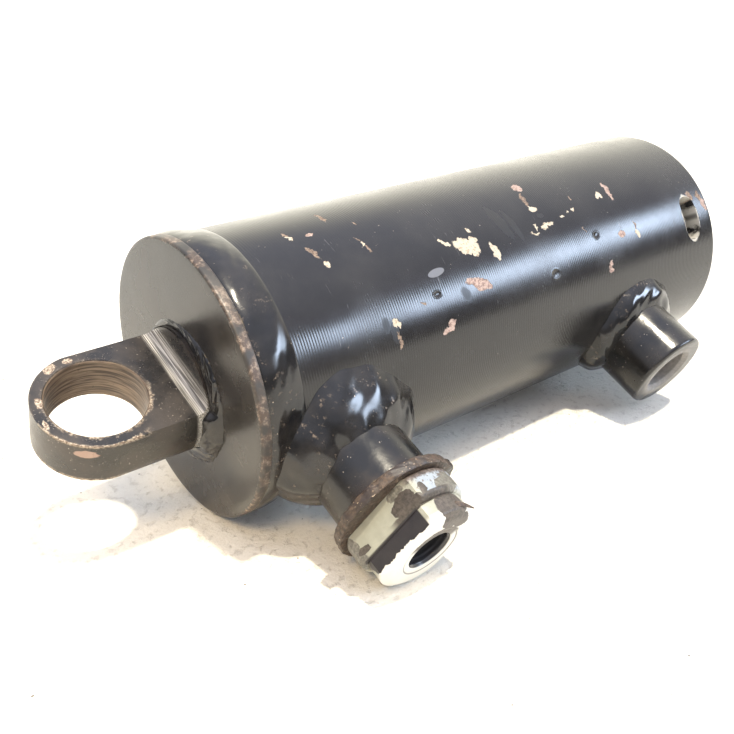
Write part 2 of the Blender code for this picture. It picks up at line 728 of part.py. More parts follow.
# Gland: it closes the tube, guides the rod and carries the static seal outside and the rod's seals inside.
STATIC_X = GLAND_START + STATIC_INSET
STATIC_R = SLIDE_R - STATIC_DEPTH
GUIDE_X = GLAND_START + GUIDE_INSET
GUIDE_R = ROD_FIT_R + GUIDE_DEPTH
SEAL_X = GLAND_START + SEAL_INSET
SEAL_R = ROD_FIT_R + SEAL_DEPTH
WIPER_X = GLAND_END - WIPER_SETBACK
WIPER_R = ROD_FIT_R + WIPER_DEPTH
wire_groove = []
for step in range(ARC_STEPS + 1):
    a = math.pi * step / ARC_STEPS
    wire_groove.append((WIRE_X + GROOVE_R * math.cos(a), BORE_R - GROOVE_R * math.sin(a)))
wire_groove[0] = (WIRE_X + GROOVE_R, SLIDE_R)
wire_groove[-1] = (WIRE_X - GROOVE_R, SLIDE_R)
gland = turned(
    "gland",
    [
        (GLAND_START, ROD_FIT_R + 0.6 * MM),
        (GLAND_START, SLIDE_R - 1.0 * MM),
        (GLAND_START + 2.0 * MM, SLIDE_R),
        (STATIC_X, SLIDE_R),
        (STATIC_X, STATIC_R),
        (STATIC_X + STATIC_W, STATIC_R),
        (STATIC_X + STATIC_W, SLIDE_R),
        *wire_groove[::-1],
        (GLAND_END - 0.8 * MM, SLIDE_R),
        (GLAND_END, SLIDE_R - 0.8 * MM),
        (GLAND_END, WIPER_R - WIPER_LIP),
        (WIPER_X + WIPER_W, WIPER_R - WIPER_LIP),
        (WIPER_X + WIPER_W, WIPER_R),
        (WIPER_X, WIPER_R),
        (WIPER_X, ROD_FIT_R),
        (SEAL_X + SEAL_W, ROD_FIT_R),
        (SEAL_X + SEAL_W, SEAL_R),
        (SEAL_X, SEAL_R),
        (SEAL_X, ROD_FIT_R),
        (GUIDE_X + GUIDE_W, ROD_FIT_R),
        (GUIDE_X + GUIDE_W, GUIDE_R),
        (GUIDE_X, GUIDE_R),
        (GUIDE_X, ROD_FIT_R),
        (GLAND_START + 0.6 * MM, ROD_FIT_R),
    ],
    BORE_STEPS,
)
HOOK_ANGLE = SLOT_ANGLE + HOOK_LEAD


def around(angle, radius, x):
    """A point at an angle above the port side of the barrel."""
    a = math.radians(angle)
    return Vector((x, -radius * math.cos(a), radius * math.sin(a)))


hook_tool = cylinder_tool("hook_tool", GROOVE_R, BORE_R - HOOK_DEPTH - 2 * GAP, BORE_R + GROOVE_R, AXIS, 16)
hook_turn = Matrix.Rotation(-math.radians(HOOK_ANGLE), 4, "X") @ Matrix.Rotation(-math.pi / 2, 4, "Z")
hook_tool.matrix_local = Matrix.Translation((WIRE_X, 0.0, 0.0)) @ hook_turn
cut(gland, hook_tool)
for index, angle in enumerate((PIN_HOLE_ANGLE, PIN_HOLE_ANGLE + 180.0)):
    pin_tool = cylinder_tool(
        "pin_tool_%d" % (index + 1), PIN_HOLE_D / 2, GLAND_END - PIN_HOLE_DEPTH, GLAND_END + PIN_HOLE_D,
        AXIS, 12,
    )
    pin_tool.matrix_local = Matrix.Translation(around(angle, (SLIDE_R + WIPER_R) / 2 + GAP, 0.0))
    cut(gland, pin_tool)

# Locking wire: hooked into the gland, it fills the half grooves of gland and tube almost all the way round
# and ends in the slot of the tube.
curve = bpy.data.curves.new("locking_wire", "CURVE")
curve.dimensions = "3D"
curve.bevel_depth = WIRE_R
curve.bevel_resolution = 1
curve.use_fill_caps = True
points = [around(HOOK_ANGLE, BORE_R - HOOK_DEPTH, WIRE_X), around(HOOK_ANGLE, BORE_R - 2.6 * MM, WIRE_X)]
points.append(around(HOOK_ANGLE + 1.6, BORE_R - 0.8 * MM, WIRE_X))
RING_SPAN = 360.0 - HOOK_LEAD - WIRE_END_LEAD
WIRE_STEPS = 40
for step in range(WIRE_STEPS + 1):
    points.append(around(HOOK_ANGLE + 4.6 + (RING_SPAN - 5.0) * step / WIRE_STEPS, BORE_R, WIRE_X))
points.append(around(HOOK_ANGLE + RING_SPAN + 2.0, BORE_R + 0.7 * MM, WIRE_X))
points.append(around(HOOK_ANGLE + RING_SPAN + 6.0, BORE_R + 2.2 * MM, WIRE_X))
spline = curve.splines.new("POLY")
spline.points.add(len(points) - 1)
for point, place in zip(spline.points, points):
    point.co = (*place, 1.0)
wire_curve = add_object("locking_wire_path", curve, None, PARTS)
depsgraph = bpy.context.evaluated_depsgraph_get()
wire_mesh = bpy.data.meshes.new_from_object(wire_curve.evaluated_get(depsgraph), depsgraph=depsgraph)
bpy.data.objects.remove(wire_curve, do_unlink=True)
bm = bmesh.new()
bm.from_mesh(wire_mesh)
bmesh.ops.remove_doubles(bm, verts=bm.verts, dist=0.000001)
bmesh.ops.recalc_face_normals(bm, faces=bm.faces)
bm.to_mesh(wire_mesh)
bm.free()
wire_mesh.name = "locking_wire"
wire = add_object("locking_wire", wire_mesh, AXIS, PARTS)
smooth(wire)


def o_ring(name, x, radius, half_x, half_r, parent):
    """A rubber ring with an oval section."""
    loop = []
    for k in range(6):
        a = 2 * math.pi * (k + 0.5) / 6
        loop.append((x + half_x * math.cos(a), radius + half_r * math.sin(a)))
    return turned(name, loop, BORE_STEPS, parent)


def flat_ring(name, x0, x1, r0, r1, parent, chamfer=0.0):
    """A ring with a rectangular section, chamfered on its outer corners if asked."""
    if chamfer:
        loop = [(x0, r0), (x0, r1 - chamfer), (x0 + chamfer, r1)]
        loop += [(x1 - chamfer, r1), (x1, r1 - chamfer), (x1, r0)]
    else:
        loop = [(x0, r0), (x0, r1), (x1, r1), (x1, r0)]
    return turned(name, loop, BORE_STEPS, parent)


static_half = (SLIDE_R - STATIC_R - GAP) / 2
oring_room = STATIC_W - BACKUP_W - 2 * GAP
gland_oring = o_ring(
    "gland_o_ring", STATIC_X + oring_room / 2 + GAP / 2, STATIC_R + GAP + static_half,
    oring_room / 2 - GAP / 2, static_half * 1.02, AXIS,
)
backup_ring = flat_ring(
    "gland_backup_ring", STATIC_X + oring_room + GAP, STATIC_X + oring_room + GAP + BACKUP_W,
    STATIC_R + GAP, SLIDE_R, AXIS,
)
rod_guide = flat_ring(
    "rod_guide_band", GUIDE_X + GAP, GUIDE_X + GUIDE_W - GAP, ROD_FIT_R, GUIDE_R - GAP, AXIS,
)
rod_seal = turned(
    "rod_seal",
    [
        (SEAL_X + GAP, ROD_FIT_R + 0.04 * SEAL_DEPTH),
        (SEAL_X + GAP, ROD_FIT_R + 0.28 * SEAL_DEPTH),
        (SEAL_X + 0.37 * SEAL_W, ROD_FIT_R + 0.47 * SEAL_DEPTH),
        (SEAL_X + GAP, SEAL_R - GAP - 0.26 * SEAL_DEPTH),
        (SEAL_X + GAP, SEAL_R - GAP),
        (SEAL_X + SEAL_W - GAP, SEAL_R - GAP),
        (SEAL_X + SEAL_W - GAP, ROD_FIT_R + 0.02 * SEAL_DEPTH),
        (SEAL_X + 0.23 * SEAL_W, ROD_FIT_R),
    ],
    BORE_STEPS,
)
wiper = turned(
    "rod_wiper",
    [
        (WIPER_X + GAP, ROD_FIT_R + 0.5 * MM),
        (WIPER_X + GAP, WIPER_R - GAP),
        (WIPER_X + WIPER_W - GAP, WIPER_R - GAP),
        (WIPER_X + WIPER_W - GAP, WIPER_R - WIPER_LIP - GAP),
        (GLAND_END + 0.8 * MM, ROD_FIT_R + 0.9 * MM),
        (GLAND_END + 0.8 * MM, ROD_FIT_R),
        (GLAND_END - 0.4 * MM, ROD_FIT_R),
        (GLAND_END - 1.6 * MM, ROD_FIT_R + 0.5 * MM),
    ],
    BORE_STEPS,
)

# Piston rod: the bar slides through the gland. Behind a shoulder a thinner shank carries the piston and its
# nut, and the free end is drilled and tapped.
PISTON_MIDDLE = PISTON_START + PISTON_T / 2
rod = turned(
    "piston_rod",
    [
        (ROD_END - ROD_THREAD_DEPTH - 5.0 * MM, 0.0),
        (ROD_END - ROD_THREAD_DEPTH, ROD_THREAD_BORE_D / 2),
        (ROD_END - 0.8 * MM, ROD_THREAD_BORE_D / 2),
        (ROD_END, ROD_THREAD_BORE_D / 2 + 0.8 * MM),
        (ROD_END, ROD_R - ROD_CHAMFER),
        (ROD_END - ROD_CHAMFER, ROD_R),
        (PISTON_END + GAP, ROD_R),
        (PISTON_END + GAP, SHANK_R),
        (PISTON_MIDDLE + SHANK_GROOVE_W / 2, SHANK_R),
        (PISTON_MIDDLE + SHANK_GROOVE_W / 2, SHANK_R - SHANK_GROOVE),
        (PISTON_MIDDLE - SHANK_GROOVE_W / 2, SHANK_R - SHANK_GROOVE),
        (PISTON_MIDDLE - SHANK_GROOVE_W / 2, SHANK_R),
        (SHANK_START + 1.0 * MM, SHANK_R),
        (SHANK_START, SHANK_R - 1.0 * MM),
        (SHANK_START, 0.0),
    ],
    ROD_STEPS,
    ROD_AXIS,
)

# Piston: a steel disc with a seal groove between two guide grooves.
PISTON_BORE = SHANK_R + GAP
SEAL_HALF = PISTON_SEAL_W / 2
SEAL_GROOVE_R = SLIDE_R - PISTON_SEAL_DEPTH
BAND_R = SLIDE_R - BAND_DEPTH
BAND_ONE = PISTON_START + BAND_INSET
BAND_TWO = PISTON_END - BAND_INSET - BAND_W
piston = turned(
    "piston",
    [
        (PISTON_START, PISTON_BORE),
        (PISTON_START, SLIDE_R - 0.8 * MM),
        (PISTON_START + 0.8 * MM, SLIDE_R),
        (BAND_ONE, SLIDE_R),
        (BAND_ONE, BAND_R),
        (BAND_ONE + BAND_W, BAND_R),
        (BAND_ONE + BAND_W, SLIDE_R),
        (PISTON_MIDDLE - SEAL_HALF, SLIDE_R),
        (PISTON_MIDDLE - SEAL_HALF, SEAL_GROOVE_R),
        (PISTON_MIDDLE + SEAL_HALF, SEAL_GROOVE_R),
        (PISTON_MIDDLE + SEAL_HALF, SLIDE_R),
        (BAND_TWO, SLIDE_R),
        (BAND_TWO, BAND_R),
        (BAND_TWO + BAND_W, BAND_R),
        (BAND_TWO + BAND_W, SLIDE_R),
        (PISTON_END - 0.8 * MM, SLIDE_R),
        (PISTON_END, SLIDE_R - 0.8 * MM),
        (PISTON_END, PISTON_BORE),
    ],
    BORE_STEPS,
    ROD_AXIS,
)
band_one = flat_ring(
    "piston_guide_band_1", BAND_ONE + GAP, BAND_ONE + BAND_W - GAP, BAND_R + GAP, SLIDE_R, ROD_AXIS,
)
band_two = flat_ring(
    "piston_guide_band_2", BAND_TWO + GAP, BAND_TWO + BAND_W - GAP, BAND_R + GAP, SLIDE_R, ROD_AXIS,
)
SLIDE_RING_R = SLIDE_R - SLIDE_RING_DEPTH
piston_seal = flat_ring(
    "piston_seal", PISTON_MIDDLE - SEAL_HALF + GAP, PISTON_MIDDLE + SEAL_HALF - GAP, SLIDE_RING_R, SLIDE_R,
    ROD_AXIS, 0.4 * MM,
)
energiser_half = (SLIDE_RING_R - SEAL_GROOVE_R - 2 * GAP) / 2
energiser = o_ring(
    "piston_seal_energiser", PISTON_MIDDLE, SEAL_GROOVE_R + GAP + energiser_half, SEAL_HALF - 2 * GAP,
    energiser_half * 1.02, ROD_AXIS,
)
shank_half = (SHANK_GROOVE - GAP) / 2
shank_oring = o_ring(
    "piston_o_ring", PISTON_MIDDLE, SHANK_R - SHANK_GROOVE + GAP + shank_half, SHANK_GROOVE_W / 2 - GAP,
    shank_half * 1.02, ROD_AXIS,
)

# Piston nut: a hexagon with turned chamfers on both faces.
nut_corner = (SHANK_R + NUT_RIM) / math.cos(math.radians(HEX_TURN / 2))
nut = turned(
    "piston_nut",
    [
        (NUT_START, PISTON_BORE),
        (NUT_START, nut_corner - 2.4 * MM),
        (NUT_START + 1.4 * MM, nut_corner + 0.3 * MM),
        (NUT_START + NUT_T - 1.4 * MM, nut_corner + 0.3 * MM),
        (NUT_START + NUT_T, nut_corner - 2.4 * MM),
        (NUT_START + NUT_T, PISTON_BORE),
    ],
    BORE_STEPS,
    ROD_AXIS,
)
nut_tool = cylinder_tool(
    "nut_tool", nut_corner, NUT_START - NUT_RIM, NUT_START + NUT_T + NUT_RIM, ROD_AXIS, 6,
)
cut(nut, nut_tool, "INTERSECT")

settle(cap_port_weld, 50.0)
for settled in (barrel, cap, cap_boss, rod_boss, lug, adaptor, gland, gland_oring, backup_ring, rod_guide,
                rod_seal, wiper, rod, piston, band_one, band_two, piston_seal, energiser, shank_oring, nut):
    settle(settled)
BLACK = (0.012, 0.012, 0.013)
for black, roughness in ((barrel, 0.2), (cap, 0.24), (cap_weld, 0.18), (lug, 0.3), (lug_weld, 0.25),
                         (cap_boss, 0.35), (cap_port_weld, 0.2), (rod_boss, 0.22), (rod_port_weld, 0.18)):
    paint(black, BLACK, 0.0, roughness)
paint(sealing_ring, (0.09, 0.055, 0.035), 0.3, 0.8)
paint(adaptor, (0.66, 0.66, 0.6), 0.1, 0.5)
paint(gland, (0.32, 0.32, 0.33), 1.0, 0.35)
paint(wire, (0.35, 0.34, 0.32), 1.0, 0.4)
paint(gland_oring, (0.015, 0.015, 0.016), 0.0, 0.6)
paint(backup_ring, (0.75, 0.74, 0.7), 0.0, 0.5)
paint(rod_guide, (0.1, 0.16, 0.12), 0.0, 0.6)
paint(rod_seal, (0.04, 0.12, 0.3), 0.0, 0.45)
paint(wiper, (0.04, 0.12, 0.3), 0.0, 0.45)
paint(rod, (0.72, 0.73, 0.75), 1.0, 0.08)
paint(piston, (0.3, 0.3, 0.31), 1.0, 0.35)
paint(band_one, (0.1, 0.16, 0.12), 0.0, 0.6)
paint(band_two, (0.1, 0.16, 0.12), 0.0, 0.6)
paint(piston_seal, (0.28, 0.2, 0.13), 0.0, 0.5)
paint(energiser, (0.015, 0.015, 0.016), 0.0, 0.6)
paint(shank_oring, (0.015, 0.015, 0.016), 0.0, 0.6)
paint(nut, (0.38, 0.38, 0.37), 1.0, 0.4)
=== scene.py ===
"""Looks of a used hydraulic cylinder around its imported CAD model."""

import json
import math

import bpy
import numpy as np
from mathutils import Matrix, Vector


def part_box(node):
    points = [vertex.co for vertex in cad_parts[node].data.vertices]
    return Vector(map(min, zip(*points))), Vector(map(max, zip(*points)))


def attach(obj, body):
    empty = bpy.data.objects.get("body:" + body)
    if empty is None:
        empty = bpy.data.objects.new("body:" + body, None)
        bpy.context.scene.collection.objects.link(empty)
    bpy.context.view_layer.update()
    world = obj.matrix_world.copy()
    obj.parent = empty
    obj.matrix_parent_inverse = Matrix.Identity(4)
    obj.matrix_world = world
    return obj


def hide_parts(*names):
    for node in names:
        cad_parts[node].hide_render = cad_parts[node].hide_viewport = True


bl_info = {
    "name": "Hydraulic cylinder looks",
    "version": (1, 0, 0),
    "blender": (4, 5, 0),
    "location": "View3D > Sidebar > Cylinder",
    "description": "Dresses the packed hydraulic cylinder with detailed surfaces and worn finishes",
    "category": "Object",
}

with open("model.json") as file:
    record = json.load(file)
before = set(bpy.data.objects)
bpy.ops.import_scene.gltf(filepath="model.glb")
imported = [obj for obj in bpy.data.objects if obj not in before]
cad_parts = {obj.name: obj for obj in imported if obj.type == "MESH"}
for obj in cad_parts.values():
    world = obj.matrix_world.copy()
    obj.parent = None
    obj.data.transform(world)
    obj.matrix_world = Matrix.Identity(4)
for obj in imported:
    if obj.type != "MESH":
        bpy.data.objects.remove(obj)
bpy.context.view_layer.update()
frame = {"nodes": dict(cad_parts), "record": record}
MM = 0.001
JOIN_DISTANCE = 0.0002 * MM


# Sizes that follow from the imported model.
def size_of(node):
    """Lowest and highest corner of a node as arrays."""
    low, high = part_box(node)
    return np.array(low, float), np.array(high, float)


def mount(name):
    """Place and direction of one of the record's mounts."""
    for item in frame["record"]["mounts"]:
        if item["name"] == name:
            return np.array(item["pos_m"], float), np.array(item["axis"], float)
    raise RuntimeError("The record has no mount named " + name)


ROD_LOW, ROD_HIGH = size_of("piston_rod")
CAP_LOW, CAP_HIGH = size_of("end_cap")
TUBE_LOW, TUBE_HIGH = size_of("barrel_tube")
AXIS_Y = (ROD_LOW[1] + ROD_HIGH[1]) / 2
AXIS_Z = (ROD_LOW[2] + ROD_HIGH[2]) / 2
CAP_X = CAP_LOW[0]
BARREL_R = (TUBE_HIGH[2] - TUBE_LOW[2]) / 2
CAP_R = (CAP_HIGH[2] - CAP_LOW[2]) / 2
ROD_R = (ROD_HIGH[2] - ROD_LOW[2]) / 2
BODY = TUBE_HIGH[0] - CAP_X
ROD_END = ROD_HIGH[0] - CAP_X
WALL = 6.5 * MM
BORE_R = BARREL_R - WALL
CAP_BOSS_LOW, CAP_BOSS_HIGH = size_of("cap_port_boss")
ROD_BOSS_LOW, ROD_BOSS_HIGH = size_of("rod_port_boss")
CAP_PORT_X = (CAP_BOSS_LOW[0] + CAP_BOSS_HIGH[0]) / 2 - CAP_X
ROD_PORT_X = (ROD_BOSS_LOW[0] + ROD_BOSS_HIGH[0]) / 2 - CAP_X


def axes(origin, x_axis, y_axis):
    """A frame as a 4 by 4 matrix, from its origin and its first two directions."""
    x_axis = np.asarray(x_axis, float)
    y_axis = np.asarray(y_axis, float)
    matrix = np.eye(4)
    matrix[:3, 0] = x_axis
    matrix[:3, 1] = y_axis
    matrix[:3, 2] = np.cross(x_axis, y_axis)
    matrix[:3, 3] = origin
    return matrix


RIGHT = np.array([1.0, 0.0, 0.0])
PORT_SIDE = -1.0
CAP_CENTRE = np.array([CAP_X, AXIS_Y, AXIS_Z])
ROD_PORT_OUT = mount("rod_port_face")[1]
CAP_PORT_OUT = mount("adaptor_face")[1]
LUG_UP = mount("lug_cheek_top")[1]
BARREL = axes(CAP_CENTRE, RIGHT, -ROD_PORT_OUT)
CAP_PORT = axes(CAP_CENTRE + CAP_PORT_X * RIGHT, CAP_PORT_OUT, RIGHT)
ROD_PORT = axes(CAP_CENTRE + ROD_PORT_X * RIGHT, ROD_PORT_OUT, RIGHT)
LUG = axes(CAP_CENTRE - 2.0 * MM * LUG_UP, RIGHT, np.cross(LUG_UP, RIGHT))

# Sizes in millimetres that the surfaces are drawn from, in the frames above.
SLOT_X = BODY - 11.0 * MM
SLOT_ANGLE = math.radians(53.0)
SLOT_HALF_X = 3.8 * MM
SLOT_HALF_ARC = 7.5 * MM
GLAND_END = BODY - 0.5 * MM
GLAND_START = GLAND_END - 34.5 * MM
BOSS_R = 14.0 * MM
BOSS_TOP = 57.5 * MM
PORT_R = 7.5 * MM
PASSAGE_R = 5.0 * MM
WELD_END = 13.6 * MM
CAP_EDGE = 2.8 * MM
MOUTH_ROUND = 0.6 * MM
WIRE_R = 2.2 * MM
WIRE_GROOVE_R = 2.5 * MM


class Shell:
    """Points and faces of one piece, gathered from grids."""

    def __init__(self):
        self.points = []
        self.faces = []
        self.uvs = []
        self.count = 0

    def add(self, points, faces, uv):
        """Add points (n, 3) with pattern coordinates (n, 2) and faces (m, 4) that index them."""
        self.points.append(np.asarray(points, float).reshape(-1, 3))
        self.uvs.append(np.asarray(uv, float).reshape(-1, 2))
        self.faces.append(np.asarray(faces, int) + self.count)
        self.count += len(self.points[-1])

    def grid(self, points, wrap_u=False, wrap_v=False, uv=None):
        """Add a grid of points (u, v, 3): neighbours along u and v are joined, and a wrapped side
        closes.
        """
        rows, columns = points.shape[:2]
        if uv is None:
            u, v = np.meshgrid(np.arange(rows), np.arange(columns), indexing="ij")
            uv = np.stack([u, v], -1) * MM
        self.add(points, grid_faces(rows, columns, wrap_u, wrap_v), uv)

    def piece(self, name, matrix, sharp=34.0):
        """Turn the shell into an object: place it, join equal points, close it outwards and shade it."""
        points = np.concatenate(self.points)
        placed = points @ matrix[:3, :3].T + matrix[:3, 3]
        keys = np.round(placed / JOIN_DISTANCE).astype(np.int64)
        _, first, index = np.unique(keys, axis=0, return_index=True, return_inverse=True)
        index = index.reshape(-1)
        faces = np.concatenate(self.faces)
        corners = index[faces]
        uv = np.concatenate(self.uvs)
        keep = np.ones(len(faces), bool)
        triangles = []
        triangle_uv = []
        for a in range(4):
            b = (a + 1) % 4
            same = (corners[:, a] == corners[:, b]) & keep
            others = [(a + 1) % 4, (a + 2) % 4, (a + 3) % 4]
            tri = corners[same][:, others]
            good = (tri[:, 0] != tri[:, 1]) & (tri[:, 1] != tri[:, 2]) & (tri[:, 0] != tri[:, 2])
            triangles.append(tri[good])
            triangle_uv.append(uv[faces[same][:, others]][good])
            keep &= ~same
        quads = corners[keep]
        loops = np.concatenate([quads.reshape(-1)] + [tri.reshape(-1) for tri in triangles])
        totals = np.concatenate([np.full(len(quads), 4)] + [np.full(len(tri), 3) for tri in triangles])
        starts = np.concatenate([[0], np.cumsum(totals)[:-1]])
        loop_uv = np.concatenate([uv[faces[keep]].reshape(-1, 2)] + [t.reshape(-1, 2) for t in triangle_uv])
        mesh = bpy.data.meshes.new(name)
        mesh.vertices.add(len(first))
        mesh.vertices.foreach_set("co", placed[first].astype(np.float32).reshape(-1))
        mesh.loops.add(len(loops))
        mesh.loops.foreach_set("vertex_index", loops.astype(np.int32))
        mesh.polygons.add(len(totals))
        mesh.polygons.foreach_set("loop_start", starts.astype(np.int32))
        mesh.polygons.foreach_set("loop_total", totals.astype(np.int32))
        mesh.update(calc_edges=True)
        layer = mesh.uv_layers.new(name="pattern")
        layer.data.foreach_set("uv", loop_uv.astype(np.float32).reshape(-1))
        mesh.validate()
        outwards(mesh)
        mesh.shade_smooth()
        mesh.set_sharp_from_angle(angle=math.radians(sharp))
        obj = bpy.data.objects.new(name, mesh)
        bpy.context.scene.collection.objects.link(obj)
        return obj


def outwards(mesh):
    """Turn a closed mesh outwards: where its signed volume is negative, every face is flipped."""
    mesh.calc_loop_triangles()
    count = len(mesh.loop_triangles)
    corners = np.empty(count * 3, np.int32)
    mesh.loop_triangles.foreach_get("vertices", corners)
    points = np.empty(len(mesh.vertices) * 3, np.float32)
    mesh.vertices.foreach_get("co", points)
    tri = points.reshape(-1, 3)[corners.reshape(-1, 3)].astype(float)
    tri -= tri.reshape(-1, 3).mean(0)
    if np.einsum("ij,ij->i", tri[:, 0], np.cross(tri[:, 1], tri[:, 2])).sum() < 0:
        mesh.flip_normals()


def grid_faces(rows, columns, wrap_u=False, wrap_v=False):
    """Quads of a grid of points numbered row by row."""
    u = np.arange(rows if wrap_u else rows - 1)
    v = np.arange(columns if wrap_v else columns - 1)
    u, v = np.meshgrid(u, v, indexing="ij")
    u = u.reshape(-1)
    v = v.reshape(-1)
    un = (u + 1) % rows
    vn = (v + 1) % columns
    return np.stack([u * columns + v, u * columns + vn, un * columns + vn, un * columns + v], -1)


def circle(count, start=0.0, turn=2 * math.pi):
    """Equal angles of a full turn, the last one left out."""
    return start + turn * np.arange(count) / count


def ringed(x, r, angle, side=1.0):
    """Points (x, r) turned about the X axis: y = side r cos(angle), z = r sin(angle)."""
    return np.stack(np.broadcast_arrays(x, side * r * np.cos(angle), r * np.sin(angle)), -1)


def lengths(outline):
    """Length along an outline from its start to each of its points."""
    return np.concatenate([[0.0], np.cumsum(np.hypot(*np.diff(outline, axis=0).T))])


def fine(points, step):
    """An outline with points added so that no side is longer than step."""
    points = np.asarray(points, float)
    out = []
    for a, b in zip(points, points[1:]):
        n = max(1, int(math.ceil(np.hypot(*(b - a)) / step)))
        out.append(a + (b - a) * (np.arange(n) / n)[:, None])
    out.append(points[-1:])
    return np.concatenate(out)


def rounded(corners, steps=4, closed=True):
    """An outline from corners (x, r, radius): each corner is cut back by its radius and bridged by
    a parabola.
    """
    corners = np.asarray(corners, float)
    count = len(corners)
    out = []
    for i in range(count):
        point = corners[i, :2]
        radius = corners[i, 2]
        if radius == 0.0 or (not closed and i in (0, count - 1)):
            out.append(point[None])
            continue
        before = corners[(i - 1) % count, :2] - point
        after = corners[(i + 1) % count, :2] - point
        a = point + before / np.hypot(*before) * min(radius, 0.5 * np.hypot(*before))
        b = point + after / np.hypot(*after) * min(radius, 0.5 * np.hypot(*after))
        t = np.linspace(0.0, 1.0, steps + 1)[:, None]
        out.append((1 - t) ** 2 * a + 2 * t * (1 - t) * point + t ** 2 * b)
    return np.concatenate(out)


def revolve(outline, steps):
    """A turned surface: each (x, r) of the outline goes round the X axis, from the ports' side on."""
    return ringed(outline[:, 0:1], outline[:, 1:2], circle(steps), PORT_SIDE)


def turned_piece(name, outline, matrix, steps=128, closed=True, sharp=34.0):
    """A piece turned from one outline. A closed outline is a ring, an open one starts and ends on
    the axis. Pattern: length along the outline, arc round.
    """
    shell = Shell()
    arc = circle(steps) * float(np.max(outline[:, 1]))
    uv = np.stack(np.meshgrid(lengths(outline), arc, indexing="ij"), -1)
    shell.grid(revolve(outline, steps), wrap_u=closed, wrap_v=True, uv=uv)
    return shell.piece(name, matrix, sharp)


def waves(angle, seed, orders):
    """Smooth uneven height around a ring, about -1 to 1: a sum of sines of the given orders,
    strongest first.
    """
    random = np.random.default_rng(seed)
    value = 0.0
    total = 0.0
    for k, order in enumerate(orders):
        weight = 1.0 / (1.0 + 0.6 * k)
        value = value + weight * np.sin(order * angle + random.uniform(0, 2 * math.pi))
        total += weight
    return value / total


# Surfaces.
def holed_sheet(u, v, holes):
    """A grid in (u, v) that wraps along v, with windows whose inner rings close on round or long holes.

    Each hole is (centre u, centre v, half u, half v, length of one v, margin). The window is a block of
    cells around the hole. Rings of points run from its border to the hole's outline: point = border +
    (outline - border) * share.
    Returns the points (n, 2), the quads and for each hole the numbers of its outline points in order.
    """
    rows, columns = len(u), len(v)
    grid_u, grid_v = np.meshgrid(u, v, indexing="ij")
    points = [np.stack([grid_u, grid_v], -1).reshape(-1, 2)]
    faces = grid_faces(rows, columns, False, True)
    count = rows * columns
    drop = np.zeros(len(faces), bool)
    row = faces[:, 0] // columns
    column = faces[:, 0] % columns
    extra = []
    loops = []
    for centre_u, centre_v, half_u, half_v, scale_v, margin in holes:
        r0 = int(np.searchsorted(u, centre_u - half_u - margin) - 1)
        r1 = int(np.searchsorted(u, centre_u + half_u + margin))
        c0 = int(np.searchsorted(v, centre_v - (half_v + margin) / scale_v) - 1)
        c1 = int(np.searchsorted(v, centre_v + (half_v + margin) / scale_v))
        drop |= (row >= r0) & (row < r1) & (column >= c0) & (column < c1)
        border = [(r0, c) for c in range(c0, c1)] + [(r, c1) for r in range(r0, r1)]
        border += [(r1, c) for c in range(c1, c0, -1)] + [(r, c0) for r in range(r1, r0, -1)]
        border = np.array(border)
        ids = border[:, 0] * columns + border[:, 1]
        place = np.stack([u[border[:, 0]] - centre_u, (v[border[:, 1]] - centre_v) * scale_v], -1)
        long_u = max(0.0, half_u - half_v)
        long_v = max(0.0, half_v - half_u)
        small = min(half_u, half_v)
        core = np.stack([np.clip(place[:, 0], -long_u, long_u), np.clip(place[:, 1], -long_v, long_v)], -1)
        away = place - core
        outline = core + away / np.maximum(np.hypot(away[:, 0], away[:, 1]), 1e-9)[:, None] * small
        shares = np.array([0.35, 0.65, 0.84, 0.93, 0.97, 1.0])
        size = len(ids)
        last = ids
        for share in shares:
            ring = place + (outline - place) * share
            flat = np.stack([ring[:, 0] + centre_u, ring[:, 1] / scale_v + centre_v], -1)
            new = count + np.arange(size)
            points.append(flat)
            extra.append(np.stack([last, np.roll(last, -1), np.roll(new, -1), new], -1))
            last = new
            count += size
        loops.append(last)
    return np.concatenate(points), np.concatenate([faces[~drop]] + extra), loops


